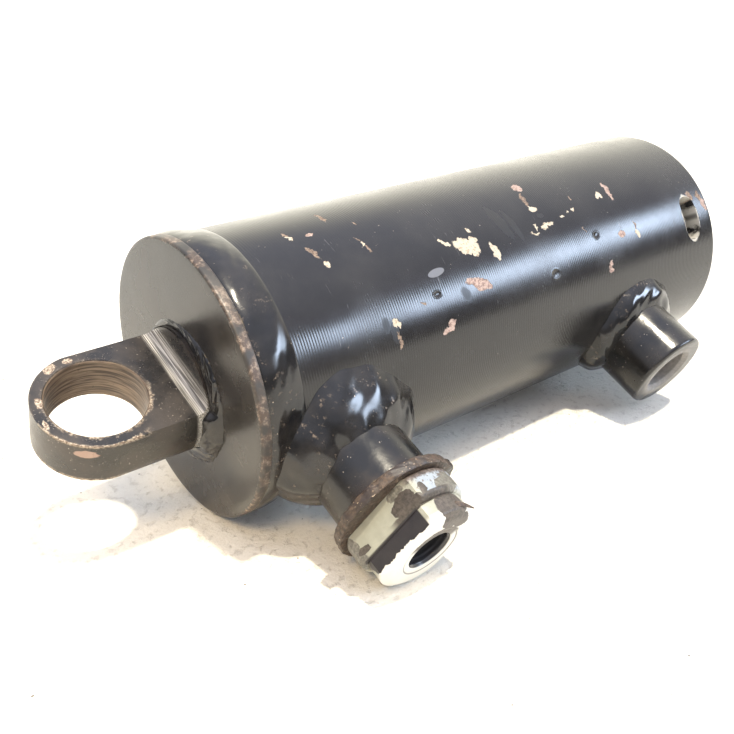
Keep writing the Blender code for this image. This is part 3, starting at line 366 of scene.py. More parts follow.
def barrel_surface():
    """Barrel tube: radius as a function of x, inside and out, with the wire slot and both port passages cut.

    Outside the radius is the barrel's, less a round at the mouth. Inside it is the bore's, plus the half
    round wire groove and the bevel at the mouth. The walls of the holes join the two.
    """
    shell = Shell()
    u = np.concatenate([
        np.linspace(WELD_END - 3.0 * MM, WELD_END + 2.0 * MM, 5)[:-1],
        np.linspace(WELD_END + 2.0 * MM, BODY - MOUTH_ROUND, 138)[:-1],
        BODY - np.array([0.6, 0.45, 0.3, 0.15, 0.05, 0.0]) * MM,
    ])
    columns = 256
    v = circle(columns, -math.pi / 2)
    holes = [
        (SLOT_X, SLOT_ANGLE, SLOT_HALF_X, SLOT_HALF_ARC, BARREL_R, 2.4 * MM),
        (CAP_PORT_X, math.radians(2.4), PASSAGE_R, PASSAGE_R, BARREL_R, 2.4 * MM),
        (ROD_PORT_X, 0.0, PASSAGE_R, PASSAGE_R, BARREL_R, 2.4 * MM),
    ]
    flat, faces, loops = holed_sheet(u, v, holes)
    x, angle = flat[:, 0], flat[:, 1]
    edge = np.clip((x - (BODY - MOUTH_ROUND)) / MOUTH_ROUND, 0.0, 1.0)
    outer = BARREL_R - 0.5 * MM * (1 - np.sqrt(1 - edge ** 2))
    into = np.zeros(len(flat))
    for loop in loops:
        into[loop] = 0.35 * MM
    outer = outer - into
    near = np.clip((x - (BODY - 3.0 * MM)) / (3.0 * MM), 0.0, 1.0)
    groove = np.sqrt(np.clip(WIRE_GROOVE_R ** 2 - (x - SLOT_X) ** 2, 0.0, None))
    inner = BORE_R + 0.9 * MM * near + groove
    outside = ringed(x, outer, angle, PORT_SIDE)
    inside = ringed(x, inner, angle, PORT_SIDE)
    pattern = np.stack([x, angle * BARREL_R], -1)
    shell.add(outside, faces, pattern)
    shell.add(inside, faces[:, ::-1], pattern)
    first = np.arange(columns)
    for loop in loops + [first, (len(u) - 1) * columns + first]:
        wall = np.stack([outside[loop] + (inside[loop] - outside[loop]) * t for t in np.linspace(0, 1, 5)])
        uv = np.repeat(pattern[loop][None], 5, 0)
        shell.grid(wall, wrap_v=True, uv=uv)
    return shell


def cap_weld_surface():
    """Hand laid weld band: a grid of s across the band and angle around it.

    The crown is sin(pi s) to the power 0.6, higher towards the cap, plus lumps that travel across the band.
    """
    s = np.linspace(0.0, 1.0, 34)[:, None]
    angle = circle(420)[None]
    x = WELD_END + 0.25 * MM + (CAP_EDGE - WELD_END - 0.4 * MM) * s + 0 * angle
    base = BARREL_R + 0.05 * MM + (CAP_R - BARREL_R) * s
    hump = np.sin(math.pi * s) ** 0.6 * (0.55 + 0.45 * s) - 0.75 * s ** 6 - 0.3 * (1 - s) ** 8
    lump = waves(angle + 0.35 * s, 3, [7, 12, 19, 4])
    fold = waves(angle + 0.7 * s, 8, [29, 37, 23]) * 0.1
    r = base + (0.78 * MM) * hump + 0.34 * MM * (lump + fold) * np.sin(math.pi * s)
    top = ringed(x, r, angle, PORT_SIDE)
    shell = Shell()
    arc = np.broadcast_to(angle * BARREL_R, x.shape)
    shell.grid(top, wrap_v=True, uv=np.stack([x, arc], -1))
    root = np.array([[WELD_END + 0.25 * MM, BARREL_R + 0.05 * MM], [7.5 * MM, BORE_R + 3.5 * MM],
                     [CAP_EDGE - 0.15 * MM, CAP_R + 0.05 * MM]])
    foot = ringed(root[:, 0:1], root[:, 1:2], angle, PORT_SIDE)
    foot[0] = top[0]
    foot[-1] = top[-1]
    shell.grid(foot[::-1], wrap_v=True, uv=np.zeros(foot.shape[:2] + (2,)))
    return shell


def ease(value, low, high):
    """A smooth step from 0 at low to 1 at high."""
    t = np.clip((value - low) / (high - low), 0.0, 1.0)
    return t * t * (3 - 2 * t)


def lug_weld_surface():
    """Fillet bead around the lug's bar, full on the ports' side and thin on the far side, lumpy
    along its ring.
    """
    angle = circle(300)[None]
    turn = np.degrees(angle)
    full = 0.35 + 0.65 * ease(turn, 70.0, 130.0) * (1 - ease(turn, 290.0, 350.0))
    climb = ease(np.abs(np.cos(angle)), 0.90, 0.97)
    lump = waves(angle, 21, [11, 23, 37, 52])
    height = (1.15 * MM + climb * 2.4 * MM) * full
    leg = 4.4 * MM * full * (1.0 + 0.09 * lump)
    inner = 17.1 * MM
    s = np.linspace(0.0, 1.0, 15)[:, None]
    bulge = (0.42 * MM + 0.2 * MM * waves(angle + 0.5 * s, 5, [13, 29, 41])) * full * np.sin(math.pi * s)
    x = -0.05 * MM - height * (1 - s) - bulge
    r = inner + leg * s + bulge
    sunk = 0.1 * MM
    ring = np.concatenate([ringed(x, r, angle), ringed(sunk, r[-1:], angle), ringed(sunk, inner, angle)])
    shell = Shell()
    along = np.linspace(0, 10 * MM, ring.shape[0])[:, None] + 0 * angle
    shell.grid(ring, wrap_u=True, wrap_v=True, uv=np.stack([along, along * 0 + angle * inner], -1))
    return shell


def saddle_weld_surface(leg, climb, crown, seed):
    """Fillet bead on a round barrel around a boss: its foot follows sqrt(R^2 - (r sin a)^2), its
    top the boss.
    """
    angle = circle(320)[None]
    lump = waves(angle, seed, [5, 9, 16])
    reach = leg * (1.0 + 0.09 * lump)
    inner = BOSS_R + 0.05 * MM
    lie = BARREL_R + 0.05 * MM

    def seat(r):
        """Height of the barrel's surface at a distance r from the port's axis."""
        return np.sqrt(lie ** 2 - (r * np.sin(angle)) ** 2)

    top = seat(inner) + climb * (1.0 + 0.08 * lump)
    foot = seat(inner + reach)
    s = np.linspace(0.0, 1.0, 26)[:, None]
    uneven = waves(angle + 0.5 * s, seed + 1, [7, 13, 3]) + 0.1 * waves(angle + 0.9 * s, seed + 2, [17, 23])
    swell = (crown + 0.4 * MM * uneven) * np.sin(math.pi * s)
    slope = np.arctan2(top - foot, reach)
    x = top + (foot - top) * s + swell * np.cos(slope)
    r = inner + reach * s + swell * np.sin(slope)
    front = ringed(x, r, angle)
    back = [ringed(seat(r) - 0.4 * MM, r, angle) for r in (inner + reach * 0.5, inner)]
    ring = np.concatenate([front] + back)
    shell = Shell()
    along = np.linspace(0, 12 * MM, ring.shape[0])[:, None] + 0 * angle
    shell.grid(ring, wrap_u=True, wrap_v=True, uv=np.stack([along, along * 0 + angle * inner], -1))
    return shell


def boss_surface():
    """Port boss: a turned outline whose foot rows follow the round of the barrel."""
    outline = rounded([
        (34.0 * MM, PASSAGE_R, 0.0),
        (34.0 * MM, BOSS_R, 0.0),
        (BOSS_TOP, BOSS_R, 1.4 * MM),
        (BOSS_TOP, PORT_R + 1.3 * MM, 0.25 * MM),
        (BOSS_TOP - 1.3 * MM, PORT_R, 0.25 * MM),
        (BOSS_TOP - 14.0 * MM, PORT_R, 0.3 * MM),
        (BOSS_TOP - 15.5 * MM, PASSAGE_R, 0.2 * MM),
    ], 5)
    points = revolve(outline, 144)
    seat = np.sqrt(BARREL_R ** 2 - points[..., 2] ** 2)
    points[..., 0] = np.maximum(points[..., 0], np.where(points[..., 0] < 36 * MM, seat, 0.0))
    shell = Shell()
    uv = np.stack(np.meshgrid(lengths(outline), circle(144) * BOSS_R, indexing="ij"), -1)
    shell.grid(points, wrap_u=True, wrap_v=True, uv=uv)
    return shell


LUG_R = 17.0 * MM
LUG_HALF = 6.5 * MM
EYE_X = -24.1 * MM
EYE_R = 12.5 * MM
LUG_END_R = 15.9 * MM
FILLET_X = -4.0 * MM
SHOULDER_X = -1.6 * MM
TAPER_X = -12.0 * MM


def lug_plan():
    """Plan of the lug at half height: a straight, a line that leans in and a round about the eye, mirrored.

    The line is tangent to the round, where the round's angle is atan2(R, run) + acos(r / hypot(R, run)).
    """
    run = TAPER_X - EYE_X
    tangent = math.atan2(LUG_R, run) + math.acos(LUG_END_R / math.hypot(LUG_R, run))
    arc = np.linspace(tangent, 2 * math.pi - tangent, 121)
    end = np.stack([EYE_X + LUG_END_R * np.cos(arc), LUG_END_R * np.sin(arc)], -1)
    side = fine([(FILLET_X, LUG_R), (TAPER_X, LUG_R), tuple(end[0])], 0.9 * MM)[:-1]
    return np.concatenate([side, end, side[::-1] * [1, -1]])


def lug_surface():
    """Eye lug: round bar with two milled cheeks, a filleted shoulder, a round end and the eye bored through.

    Rim: plan(s), where y is limited to the bar's sqrt(R^2 - z^2), z = R sin(a t). Cheek: from the eye's
    circle to the rim along lines through the eye's centre. Tang root: sections |z| <= h(x) of the bar, h
    rising through the fillet to the bar's surface.
    """
    shell = Shell()
    plan = lug_plan()
    lean = math.asin(LUG_HALF / LUG_R)
    t = np.linspace(1.0, -1.0, 15)
    z = LUG_R * np.sin(lean * t)
    limit = LUG_R * np.cos(lean * t)
    inside = np.clip(plan[None, :, 1], -limit[:, None], limit[:, None])
    rim = np.stack(np.broadcast_arrays(plan[None, :, 0], inside, z[:, None]), -1)
    shell.grid(rim, uv=np.stack([rim[..., 2], np.broadcast_to(lengths(plan), rim.shape[:2])], -1))
    half_line = LUG_R * math.cos(lean)
    count = 41
    across = np.linspace(-half_line, half_line, count)
    line = np.stack([np.full(count, FILLET_X), across], -1)
    loop = np.concatenate([rim[0, :, :2], line[1:-1]])
    away = loop - [EYE_X, 0.0]
    away = away / np.hypot(away[:, 0], away[:, 1])[:, None]
    small = EYE_R + 0.45 * MM
    share = np.linspace(0.0, 1.0, 7)[:, None, None]
    edge = np.array([EYE_X, 0.0]) + away * small
    disc = edge[None] + (loop - edge)[None] * share
    for side in (1, -1):
        cheek = np.concatenate([disc, np.full(disc.shape[:2] + (1,), side * LUG_HALF)], -1)
        shell.grid(cheek if side > 0 else cheek[::-1], wrap_v=True, uv=cheek[..., :2])
    depth = np.array([LUG_HALF, LUG_HALF - 0.45 * MM, 3.0 * MM, 0.0])
    depth = np.concatenate([depth, -depth[-2::-1]])
    radius = np.array([small, EYE_R, EYE_R, EYE_R, EYE_R, EYE_R, small])
    around_eye = away[None] * radius[:, None, None] + [EYE_X, 0.0]
    bore = np.stack(np.broadcast_arrays(around_eye[..., 0], around_eye[..., 1], depth[:, None]), -1)
    shell.grid(bore, wrap_v=True, uv=np.stack([bore[..., 2], np.arctan2(bore[..., 1], 0.1 * MM + bore[..., 0])
                                               * EYE_R], -1))
    turn = np.linspace(0.0, math.pi / 2, 9)
    rise_x = FILLET_X + (SHOULDER_X - FILLET_X) * np.sin(turn)
    rise_h = LUG_HALF + (SHOULDER_X - FILLET_X) * (1 - np.cos(turn))
    full = LUG_R * 0.99999
    tall = np.linspace(rise_h[-1], full, 12)[1:]
    x = np.concatenate([rise_x, np.full(len(tall), SHOULDER_X), [-0.8 * MM, -0.05 * MM]])
    h = np.concatenate([rise_h, tall, [full] * 2])
    corner = np.arcsin(h / LUG_R)
    across = across / half_line * (LUG_R * np.cos(corner))[:, None]
    top = np.stack(np.broadcast_arrays(x[:, None], across, h[:, None]), -1)
    right = ringed(x[:, None], LUG_R, corner[:, None] * t)
    left = right * [1, -1, 1]
    ring = np.concatenate([top, right[:, 1:], (top * [1, 1, -1])[:, ::-1][:, 1:], left[:, ::-1][:, 1:-1]], 1)
    shell.grid(ring, wrap_v=True, uv=ring[..., 1:])
    cap = ring[-1:] * np.array([1.0, 0.0, 0.0])
    shell.grid(np.concatenate([ring[-1:], cap]), wrap_v=True, uv=np.zeros((2, ring.shape[1], 2)))
    return shell


def gland_surface():
    """Gland: a turned outline with the wire groove, two pin holes and the wiper's recess in its end
    face.
    """
    fit = ROD_R + 0.3 * MM
    slide = BORE_R - 0.3 * MM
    a = np.linspace(0.0, math.pi, 9)
    groove = np.stack([SLOT_X - WIRE_GROOVE_R * np.cos(a), slide - WIRE_GROOVE_R * np.sin(a)], -1)
    corners = [(GLAND_START, fit + 0.6 * MM), (GLAND_START, slide - 1.0 * MM),
               (GLAND_START + 2.0 * MM, slide)]
    corners += [tuple(point) for point in groove]
    corners += [(GLAND_END - 0.8 * MM, slide), (GLAND_END - 0.25 * MM, slide - 0.2 * MM),
                (GLAND_END, slide - 0.8 * MM)]
    outside = fine(corners, 0.9 * MM)
    face = fine([(GLAND_END, slide - 0.8 * MM), (GLAND_END, fit + 2.8 * MM)], 0.55 * MM)[1:]
    inside = fine([(GLAND_END, fit + 2.8 * MM), (GLAND_END - 1.1 * MM, fit + 2.8 * MM),
                   (GLAND_END - 1.1 * MM, fit + 4.2 * MM), (GLAND_END - 5.5 * MM, fit + 4.2 * MM),
                   (GLAND_END - 5.5 * MM, fit), (GLAND_START + 0.6 * MM, fit)], 2.0 * MM)[1:]
    outline = np.concatenate([outside, face, inside])
    along = lengths(outline)
    middle = (slide + fit + 4.2 * MM) / 2 + 0.15 * MM
    hole_u = along[len(outside) - 1] + (slide - 0.8 * MM - middle)
    columns = 180
    angle = circle(columns, -math.pi / 2)
    holes = [(hole_u, math.radians(deg), 2.6 * MM, 2.6 * MM, middle, 0.5 * MM) for deg in (20.0, 200.0)]
    flat, faces, loops = holed_sheet(along, angle, holes)
    x = np.interp(flat[:, 0], along, outline[:, 0])
    r = np.interp(flat[:, 0], along, outline[:, 1])
    points = ringed(x, r, flat[:, 1], PORT_SIDE)
    shell = Shell()
    shell.add(points, faces, np.stack([flat[:, 0], flat[:, 1] * middle], -1))
    for loop in loops:
        rows = [points[loop], points[loop] - [5.5 * MM, 0, 0]]
        rows.append(np.repeat(rows[1].mean(0)[None], len(loop), 0) - [1.0 * MM, 0, 0])
        shell.grid(np.stack(rows), wrap_v=True, uv=np.zeros((3, len(loop), 2)))
    first, last = points[:columns], points[(len(along) - 1) * columns:len(along) * columns]
    shell.grid(np.stack([last, first]), wrap_v=True, uv=np.zeros((2, columns, 2)))
    return shell


def around(angle, radius, x):
    """Points at angles in degrees above the ports' side of the barrel."""
    return ringed(x, radius, np.radians(angle), PORT_SIDE)


def tube_along(path, radius, steps=16):
    """A round wire: circles of one radius across a path, each turned by the plane of the path's
    tangent and X.
    """
    tangent = np.gradient(path, axis=0)
    tangent /= np.linalg.norm(tangent, axis=1)[:, None]
    side = np.cross(tangent, RIGHT)
    side /= np.linalg.norm(side, axis=1)[:, None]
    up = np.cross(side, tangent)
    a = circle(steps)
    ring = (path[:, None] + radius * (np.cos(a)[None, :, None] * side[:, None]
                                      + np.sin(a)[None, :, None] * up[:, None]))
    return np.concatenate([path[None, :1] + 0 * ring[:1], ring, path[None, -1:] + 0 * ring[:1]])


def wire_surface():
    """Locking wire: from its hook in the gland round the groove to its raised end in the slot."""
    hook = 87.0
    turn = np.linspace(0.0, 316.0, 200)
    path = np.concatenate([
        around(np.array([hook, hook, hook + 1.6]), np.array([BORE_R - 6.0 * MM, BORE_R - 2.6 * MM,
                                                             BORE_R - 0.8 * MM]), SLOT_X),
        around(hook + 4.6 + turn, BORE_R, SLOT_X),
        around(np.array([hook + 323.0, hook + 327.0]), BORE_R + np.array([0.7, 2.2]) * MM, SLOT_X),
    ])
    shell = Shell()
    points = tube_along(path, WIRE_R)
    uv = np.stack(np.meshgrid(np.arange(len(points)) * MM, circle(16) * WIRE_R, indexing="ij"), -1)
    shell.grid(points, wrap_v=True, uv=uv)
    return shell


def rod_outline():
    """Outline of the piston rod: shank, shoulder, ground surface and the drilled and chamfered end."""
    shank = ROD_R * 2 / 3
    start = ROD_LOW[0] - CAP_X
    shoulder = 61.3 * MM
    return rounded([
        (ROD_END - 33.0 * MM, 0.0, 0.0), (ROD_END - 28.0 * MM, 9.2 * MM, 0.3 * MM),
        (ROD_END - 0.8 * MM, 9.2 * MM, 0.2 * MM), (ROD_END, 10.0 * MM, 0.2 * MM),
        (ROD_END, ROD_R - 1.2 * MM, 0.3 * MM), (ROD_END - 1.2 * MM, ROD_R, 0.3 * MM),
        (shoulder, ROD_R, 0.3 * MM), (shoulder, shank, 0.3 * MM),
        (start + 1.0 * MM, shank, 0.2 * MM), (start, shank - 1.0 * MM, 0.2 * MM), (start, 0.0, 0.0),
    ], 4, closed=False)


RING_START = BOSS_TOP + 0.1 * MM
RING_END = BOSS_TOP + 2.9 * MM
COLLAR_START = BOSS_TOP + 2.9 * MM
NOSE_START = BOSS_TOP + 10.3 * MM
ADAPTOR_END = BOSS_TOP + 16.5 * MM
COLLAR_R = 15.6 * MM
NOSE_R = 14.0 * MM
FLAT_TURN = math.radians(146.0)
FLAT_SCALE = 14.0 * MM


def ring_surface():
    """Squeezed sealing ring: outer radius 17.3 mm with ragged waves, rim rounded over its thickness."""
    angle = circle(260)[None]
    ragged = 0.3 * MM * waves(angle, 14, [5, 13, 21, 34, 55])
    lobe = (angle - math.radians(28.0) + math.pi) % (2 * math.pi) - math.pi
    ragged = ragged + 0.8 * MM * np.exp(-(lobe / 0.1) ** 2)
    t = np.linspace(-1.0, 1.0, 13)[:, None]
    bump = waves(angle + 0.25 * t, 31, [23, 37, 61]) * 0.12 * MM
    x = (RING_START + RING_END) / 2 + (RING_END - RING_START) / 2 * t + 0 * angle
    r = 16.95 * MM + ragged + bump + 0.35 * MM * np.sqrt(1 - 0.95 * t ** 2)
    shell = Shell()
    ring = np.concatenate([ringed(x, r, angle), ringed(x[[-1, 0]], 8.7 * MM, angle)])
    along = np.linspace(0, 20 * MM, ring.shape[0])[:, None] + 0 * angle
    shell.grid(ring, wrap_u=True, wrap_v=True, uv=np.stack([along, along * 0 + angle * 17 * MM], -1))
    return shell


def adaptor_surface():
    """Adaptor: turned outline r(s) with two flats, r = min(r(s), half / |cos(angle to the flat)|).

    Columns are spread so that one of them lies on the flat's corner at acos(half / r(s)) in every row.
    Pattern: place along the axis and on over the front face, arc on a radius of 14 mm.
    """
    outline = rounded([
        (BOSS_TOP - 12.0 * MM, 4.0 * MM, 0.0),
        (BOSS_TOP - 12.0 * MM, 7.2 * MM, 0.8 * MM),
        (COLLAR_START, 7.2 * MM, 0.0),
        (COLLAR_START, COLLAR_R - 0.7 * MM, 0.2 * MM),
        (COLLAR_START + 0.7 * MM, COLLAR_R, 0.3 * MM),
        (NOSE_START - 1.0 * MM, COLLAR_R, 0.5 * MM),
        (NOSE_START, COLLAR_R - 1.1 * MM, 0.3 * MM),
        (NOSE_START + 0.05 * MM, NOSE_R - 0.25 * MM, 0.15 * MM),
        (NOSE_START + 0.5 * MM, NOSE_R, 0.2 * MM),
        (ADAPTOR_END - 1.2 * MM, NOSE_R, 0.5 * MM),
        (ADAPTOR_END - 0.1 * MM, NOSE_R - 2.2 * MM, 0.5 * MM),
        (ADAPTOR_END, 8.2 * MM, 0.2 * MM),
        (ADAPTOR_END - 0.12 * MM, 7.9 * MM, 0.1 * MM),
        (ADAPTOR_END - 0.1 * MM, 6.5 * MM, 0.3 * MM),
        (ADAPTOR_END - 0.9 * MM, 5.9 * MM, 0.2 * MM),
        (ADAPTOR_END - 13.0 * MM, 5.9 * MM, 0.0),
        (ADAPTOR_END - 14.0 * MM, 4.0 * MM, 0.0),
    ], 4)
    closed = fine(np.concatenate([outline, outline[:1]]), 0.45 * MM)[:-1]
    x, r = closed[:, 0:1], closed[:, 1:2]
    strip = np.clip((x - (NOSE_START - 1.7 * MM)) / (1.5 * MM), 0.0, 1.0)
    root = np.exp(-((x - NOSE_START - 0.1 * MM) / (0.35 * MM)) ** 2)
    half = 11.0 * MM - 0.55 * MM * strip - 0.3 * MM * root
    lip = np.clip((x - (ADAPTOR_END - 0.9 * MM)) / (0.8 * MM), 0.0, 1.0)
    half = np.where(x < COLLAR_START - 1e-7, 1.0, half - 0.35 * MM * lip ** 2)
    corner = np.arccos(np.clip(half / np.maximum(r, 1e-6), 0.05, 0.83))
    corner = np.where(x < COLLAR_START - 1e-7, 0.7, corner)
    share = np.linspace(0.0, 1.0, 37)[:-1]
    first = corner * share
    second = corner + (math.pi / 2 - corner) * share
    quarter = np.concatenate([first, second], 1)
    back = math.pi - quarter[:, ::-1]
    back = np.concatenate([np.full_like(corner, math.pi / 2), back[:, :-1]], 1)
    side = np.concatenate([quarter, back], 1)
    turn = np.concatenate([side, side + math.pi], 1)
    reach = np.minimum(r, half / np.maximum(np.abs(np.cos(turn)), 1e-6))
    angle = turn + FLAT_TURN
    points = ringed(x, reach, angle)
    along = lengths(closed)
    edge = int(np.argmax(closed[:, 0] > ADAPTOR_END - 1.15 * MM))
    place = np.where(np.arange(len(closed)) < edge, closed[:, 0], closed[edge, 0] + along - along[edge])
    arc = (np.degrees(angle) - 326.0) % 360.0 - 34.0
    uv = np.stack([place[:, None] + 0 * angle, np.radians(arc) * FLAT_SCALE], -1)
    shell = Shell()
    columns = angle.shape[1]
    faces = grid_faces(len(closed), columns, True, True)
    uv = uv.reshape(-1, 2)
    seam = uv[faces][..., 1]
    late = seam.max(1) - seam.min(1) > math.pi * FLAT_SCALE
    shell.add(points, faces[~late], uv)
    shift = np.where(uv[:, 1:] < 2.0 * FLAT_SCALE, 2 * math.pi * FLAT_SCALE, 0.0) * [0.0, 1.0]
    shell.add(points, faces[late], uv + shift)
    return shell


def flake_surface():
    """Curled sliver of paint: a strip whose middle runs from the nose's round outwards, pointed at
    its free end.
    """
    t = np.linspace(0.0, 1.0, 24)[:, None]
    side = np.linspace(-1.0, 1.0, 5)[None]
    width = 0.75 * MM * (1 - t) ** 0.6 + 0.03 * MM
    x = NOSE_START + 3.4 * MM + 2.3 * MM * t - width * side * 0.7
    y = (5.4 + 5.6 * t - 0.6 * np.sin(math.pi * t)) * MM + width * side * 0.5
    z = (12.8 - 2.6 * t + 0.9 * np.sin(math.pi * t)) * MM + 0.25 * width * side
    layers = [np.stack([x, y, z + lift], -1) for lift in (0.09 * MM, -0.09 * MM)]
    ring = np.concatenate([layers[0], layers[1][:, ::-1]], 1)
    ends = [row.mean(1, keepdims=True) + 0 * row for row in (ring[:1], ring[-1:])]
    ring = np.concatenate([ends[0], ring, ends[1]])
    shell = Shell()
    shell.grid(ring, wrap_v=True, uv=ring[..., :2])
    return shell


class Nodes:
    """Nodes of one tree, put together by arithmetic."""

    def __init__(self, tree):
        self.tree = tree

    def node(self, kind, inputs=None, **settings):
        """A node with its settings and its inputs, which are values or other nodes' outputs."""
        made = self.tree.nodes.new(kind)
        for key, value in settings.items():
            setattr(made, key, value)
        for key, value in (inputs or {}).items():
            self.plug(made.inputs[key], value)
        return made

    def plug(self, socket, value):
        """Link an output to a socket, or set the socket's value."""
        if isinstance(value, bpy.types.NodeSocket):
            self.tree.links.new(value, socket)
        elif socket.type == "RGBA":
            socket.default_value = (*value, 1.0) if len(value) == 3 else value
        else:
            socket.default_value = value

    def math(self, operation, a, b=0.0, clamp=False):
        """One step of arithmetic."""
        return self.node("ShaderNodeMath", {0: a, 1: b}, operation=operation, use_clamp=clamp).outputs[0]

    def vector(self, operation, a, b):
        """One step of arithmetic on places."""
        return self.node("ShaderNodeVectorMath", {0: a, 1: b}, operation=operation).outputs[0]

    def times(self, a, b, clamp=False):
        """The product of two values."""
        return self.math("MULTIPLY", a, b, clamp)

    def plus(self, a, b, clamp=False):
        """The sum of two values."""
        return self.math("ADD", a, b, clamp)

    def minus(self, a, b, clamp=False):
        """The first value less the second."""
        return self.math("SUBTRACT", a, b, clamp)

    def most(self, a, b):
        """The larger of two values."""
        return self.math("MAXIMUM", a, b)

    def weighted(self, *pairs):
        """The sum of values times their weights, from left to right."""
        total = self.times(*pairs[0])
        for value, weight in pairs[1:]:
            total = self.plus(total, self.times(value, weight))
        return total

    def hypot(self, a, b):
        """The root of the sum of two squares."""
        return self.math("SQRT", self.plus(self.times(a, a), self.times(b, b)))

    def mix(self, share, a, b):
        """Colour a where share is 0 and b where it is 1."""
        return self.node("ShaderNodeMix", {0: share, 6: a, 7: b}, data_type="RGBA").outputs[2]

    def step(self, value, low, high, bottom=0.0, top=1.0):
        """A smooth rise from bottom to top as the value goes from low to high."""
        return self.node(
            "ShaderNodeMapRange",
            {"Value": value, "From Min": low, "From Max": high, "To Min": bottom, "To Max": top},
            interpolation_type="SMOOTHSTEP",
        ).outputs[0]


# Finishes. Lengths in them are millimetres.
class Finish(Nodes):
    """A material that is put together from nodes. Its point is the place in a frame, its flat the
    pattern map.
    """

    def __init__(self, name, matrix=None):
        self.material = bpy.data.materials.new(name)
        self.material.use_nodes = True
        super().__init__(self.material.node_tree)
        self.shader = self.tree.nodes["Principled BSDF"]
        origin = Matrix(BARREL if matrix is None else matrix)
        place = self.node("ShaderNodeTexCoord").outputs["Object"]
        self.point = self.node(
            "ShaderNodeMapping",
            {"Vector": place, "Location": origin.translation, "Rotation": origin.to_euler(),
             "Scale": (MM, MM, MM)},
            vector_type="TEXTURE",
        ).outputs[0]
        split = self.node("ShaderNodeSeparateXYZ", {0: self.point})
        self.x, self.y, self.z = split.outputs

    def flat(self):
        """The pattern map in millimetres."""
        uv = self.node("ShaderNodeUVMap", uv_map="pattern").outputs[0]
        return self.node("ShaderNodeMapping", {"Vector": uv, "Scale": (1000.0, 1000.0, 1000.0)}).outputs[0]

    def noise(self, size, detail=3.0, roughness=0.55, place=None, stretch=None, distortion=0.0):
        """Cloudy noise whose largest lumps have the given size, about 0 to 1 around 0.5."""
        place = self.point if place is None else place
        if stretch is not None:
            place = self.node("ShaderNodeMapping", {"Vector": place, "Scale": stretch}).outputs[0]
        return self.node(
            "ShaderNodeTexNoise",
            {"Vector": place, "Scale": 1.0 / size, "Detail": detail, "Roughness": roughness,
             "Distortion": distortion},
        ).outputs[0]

    def ragged(self, place, amount, size):
        """A place pushed about by noise, so that what is drawn on it gets a ragged outline."""
        push = self.node("ShaderNodeTexNoise", {"Vector": place, "Scale": 1.0 / size, "Detail": 3.0})
        centred = self.vector("SUBTRACT", push.outputs[1], (0.5, 0.5, 0.5))
        sized = self.vector("MULTIPLY", centred, (amount, amount, 0.0))
        return self.vector("ADD", place, sized)

    def spots(self, place, rows):
        """Nearness to ellipses (x, y, half length, half width, turn): 1 on an outline, 0 in a middle.

        The least value so far goes through the third coordinate, where it weighs next to nothing: this keeps
        the ellipses in a row, one after the other, so that few values wait at a time.
        """
        across = self.node("ShaderNodeSeparateXYZ", {0: place})
        least = 50.0
        for x, y, length, width, turn in rows:
            at = self.node(
                "ShaderNodeCombineXYZ", {0: across.outputs[0], 1: across.outputs[1], 2: least}
            ).outputs[0]
            local = self.node(
                "ShaderNodeMapping",
                {"Vector": at, "Location": (x, y, 0.0), "Rotation": (0.0, 0.0, math.radians(turn)),
                 "Scale": (length, width, 100000.0)},
                vector_type="TEXTURE",
            ).outputs[0]
            far = self.node("ShaderNodeVectorMath", {0: local}, operation="LENGTH").outputs["Value"]
            least = self.math("MINIMUM", least, far)
        return least

    def finish(self, color, roughness, height=None, metallic=0.0, coat=0.0):
        """Set the shader's colour, roughness, metal share, and bump from a height in millimetres."""
        self.plug(self.shader.inputs["Base Color"], color)
        self.plug(self.shader.inputs["Roughness"], roughness)
        self.plug(self.shader.inputs["Metallic"], metallic)
        if coat:
            self.shader.inputs["Coat Weight"].default_value = coat
            self.shader.inputs["Coat Roughness"].default_value = 0.12
        if height is not None:
            bump = self.node("ShaderNodeBump", {"Strength": 1.0, "Distance": MM, "Height": height})
            self.plug(self.shader.inputs["Normal"], bump.outputs[0])
        return self.material


GROOVE_PITCH = 0.8
CREAM_CHIPS = [
    (77.5, 71.0, 4.5, 2.4, -29), (70.7, 75.1, 1.7, 0.8, -48), (81.1, 78.1, 1.0, 0.6, -72),
    (80.8, 73.3, 1.0, 1.2, -102), (86.6, 65.2, 2.8, 1.1, -85), (109.0, 80.1, 1.8, 1.0, -37),
    (110.9, 70.4, 2.8, 0.7, 10), (105.9, 70.5, 0.9, 0.5, -89), (104.3, 68.0, 1.9, 0.3, -19),
    (118.5, 71.9, 0.9, 0.5, -7), (121.6, 73.9, 0.7, 0.3, 8), (124.4, 74.5, 0.9, 0.4, -7),
    (138.9, 77.3, 1.3, 1.2, -54), (147.9, 53.7, 1.6, 1.1, -52), (28.8, 97.4, 1.1, 0.4, -79),
    (32.8, 80.5, 0.9, 0.6, -77), (46.5, 84.9, 0.9, 0.5, -71), (45.0, 49.6, 1.4, 1.1, -45),
]
PINK_CHIPS = [
    (76.3, 54.1, 4.7, 1.6, -22), (110.7, 94.0, 2.1, 1.6, -67), (144.3, 78.9, 3.6, 0.9, -92),
    (140.6, 56.1, 1.2, 1.4, -69), (131.9, 42.1, 2.3, 0.9, -94), (186.5, 57.4, 2.3, 1.0, -75),
    (34.4, 97.1, 1.0, 0.8, -50), (62.3, 40.9, 3.0, 0.8, 22),
]
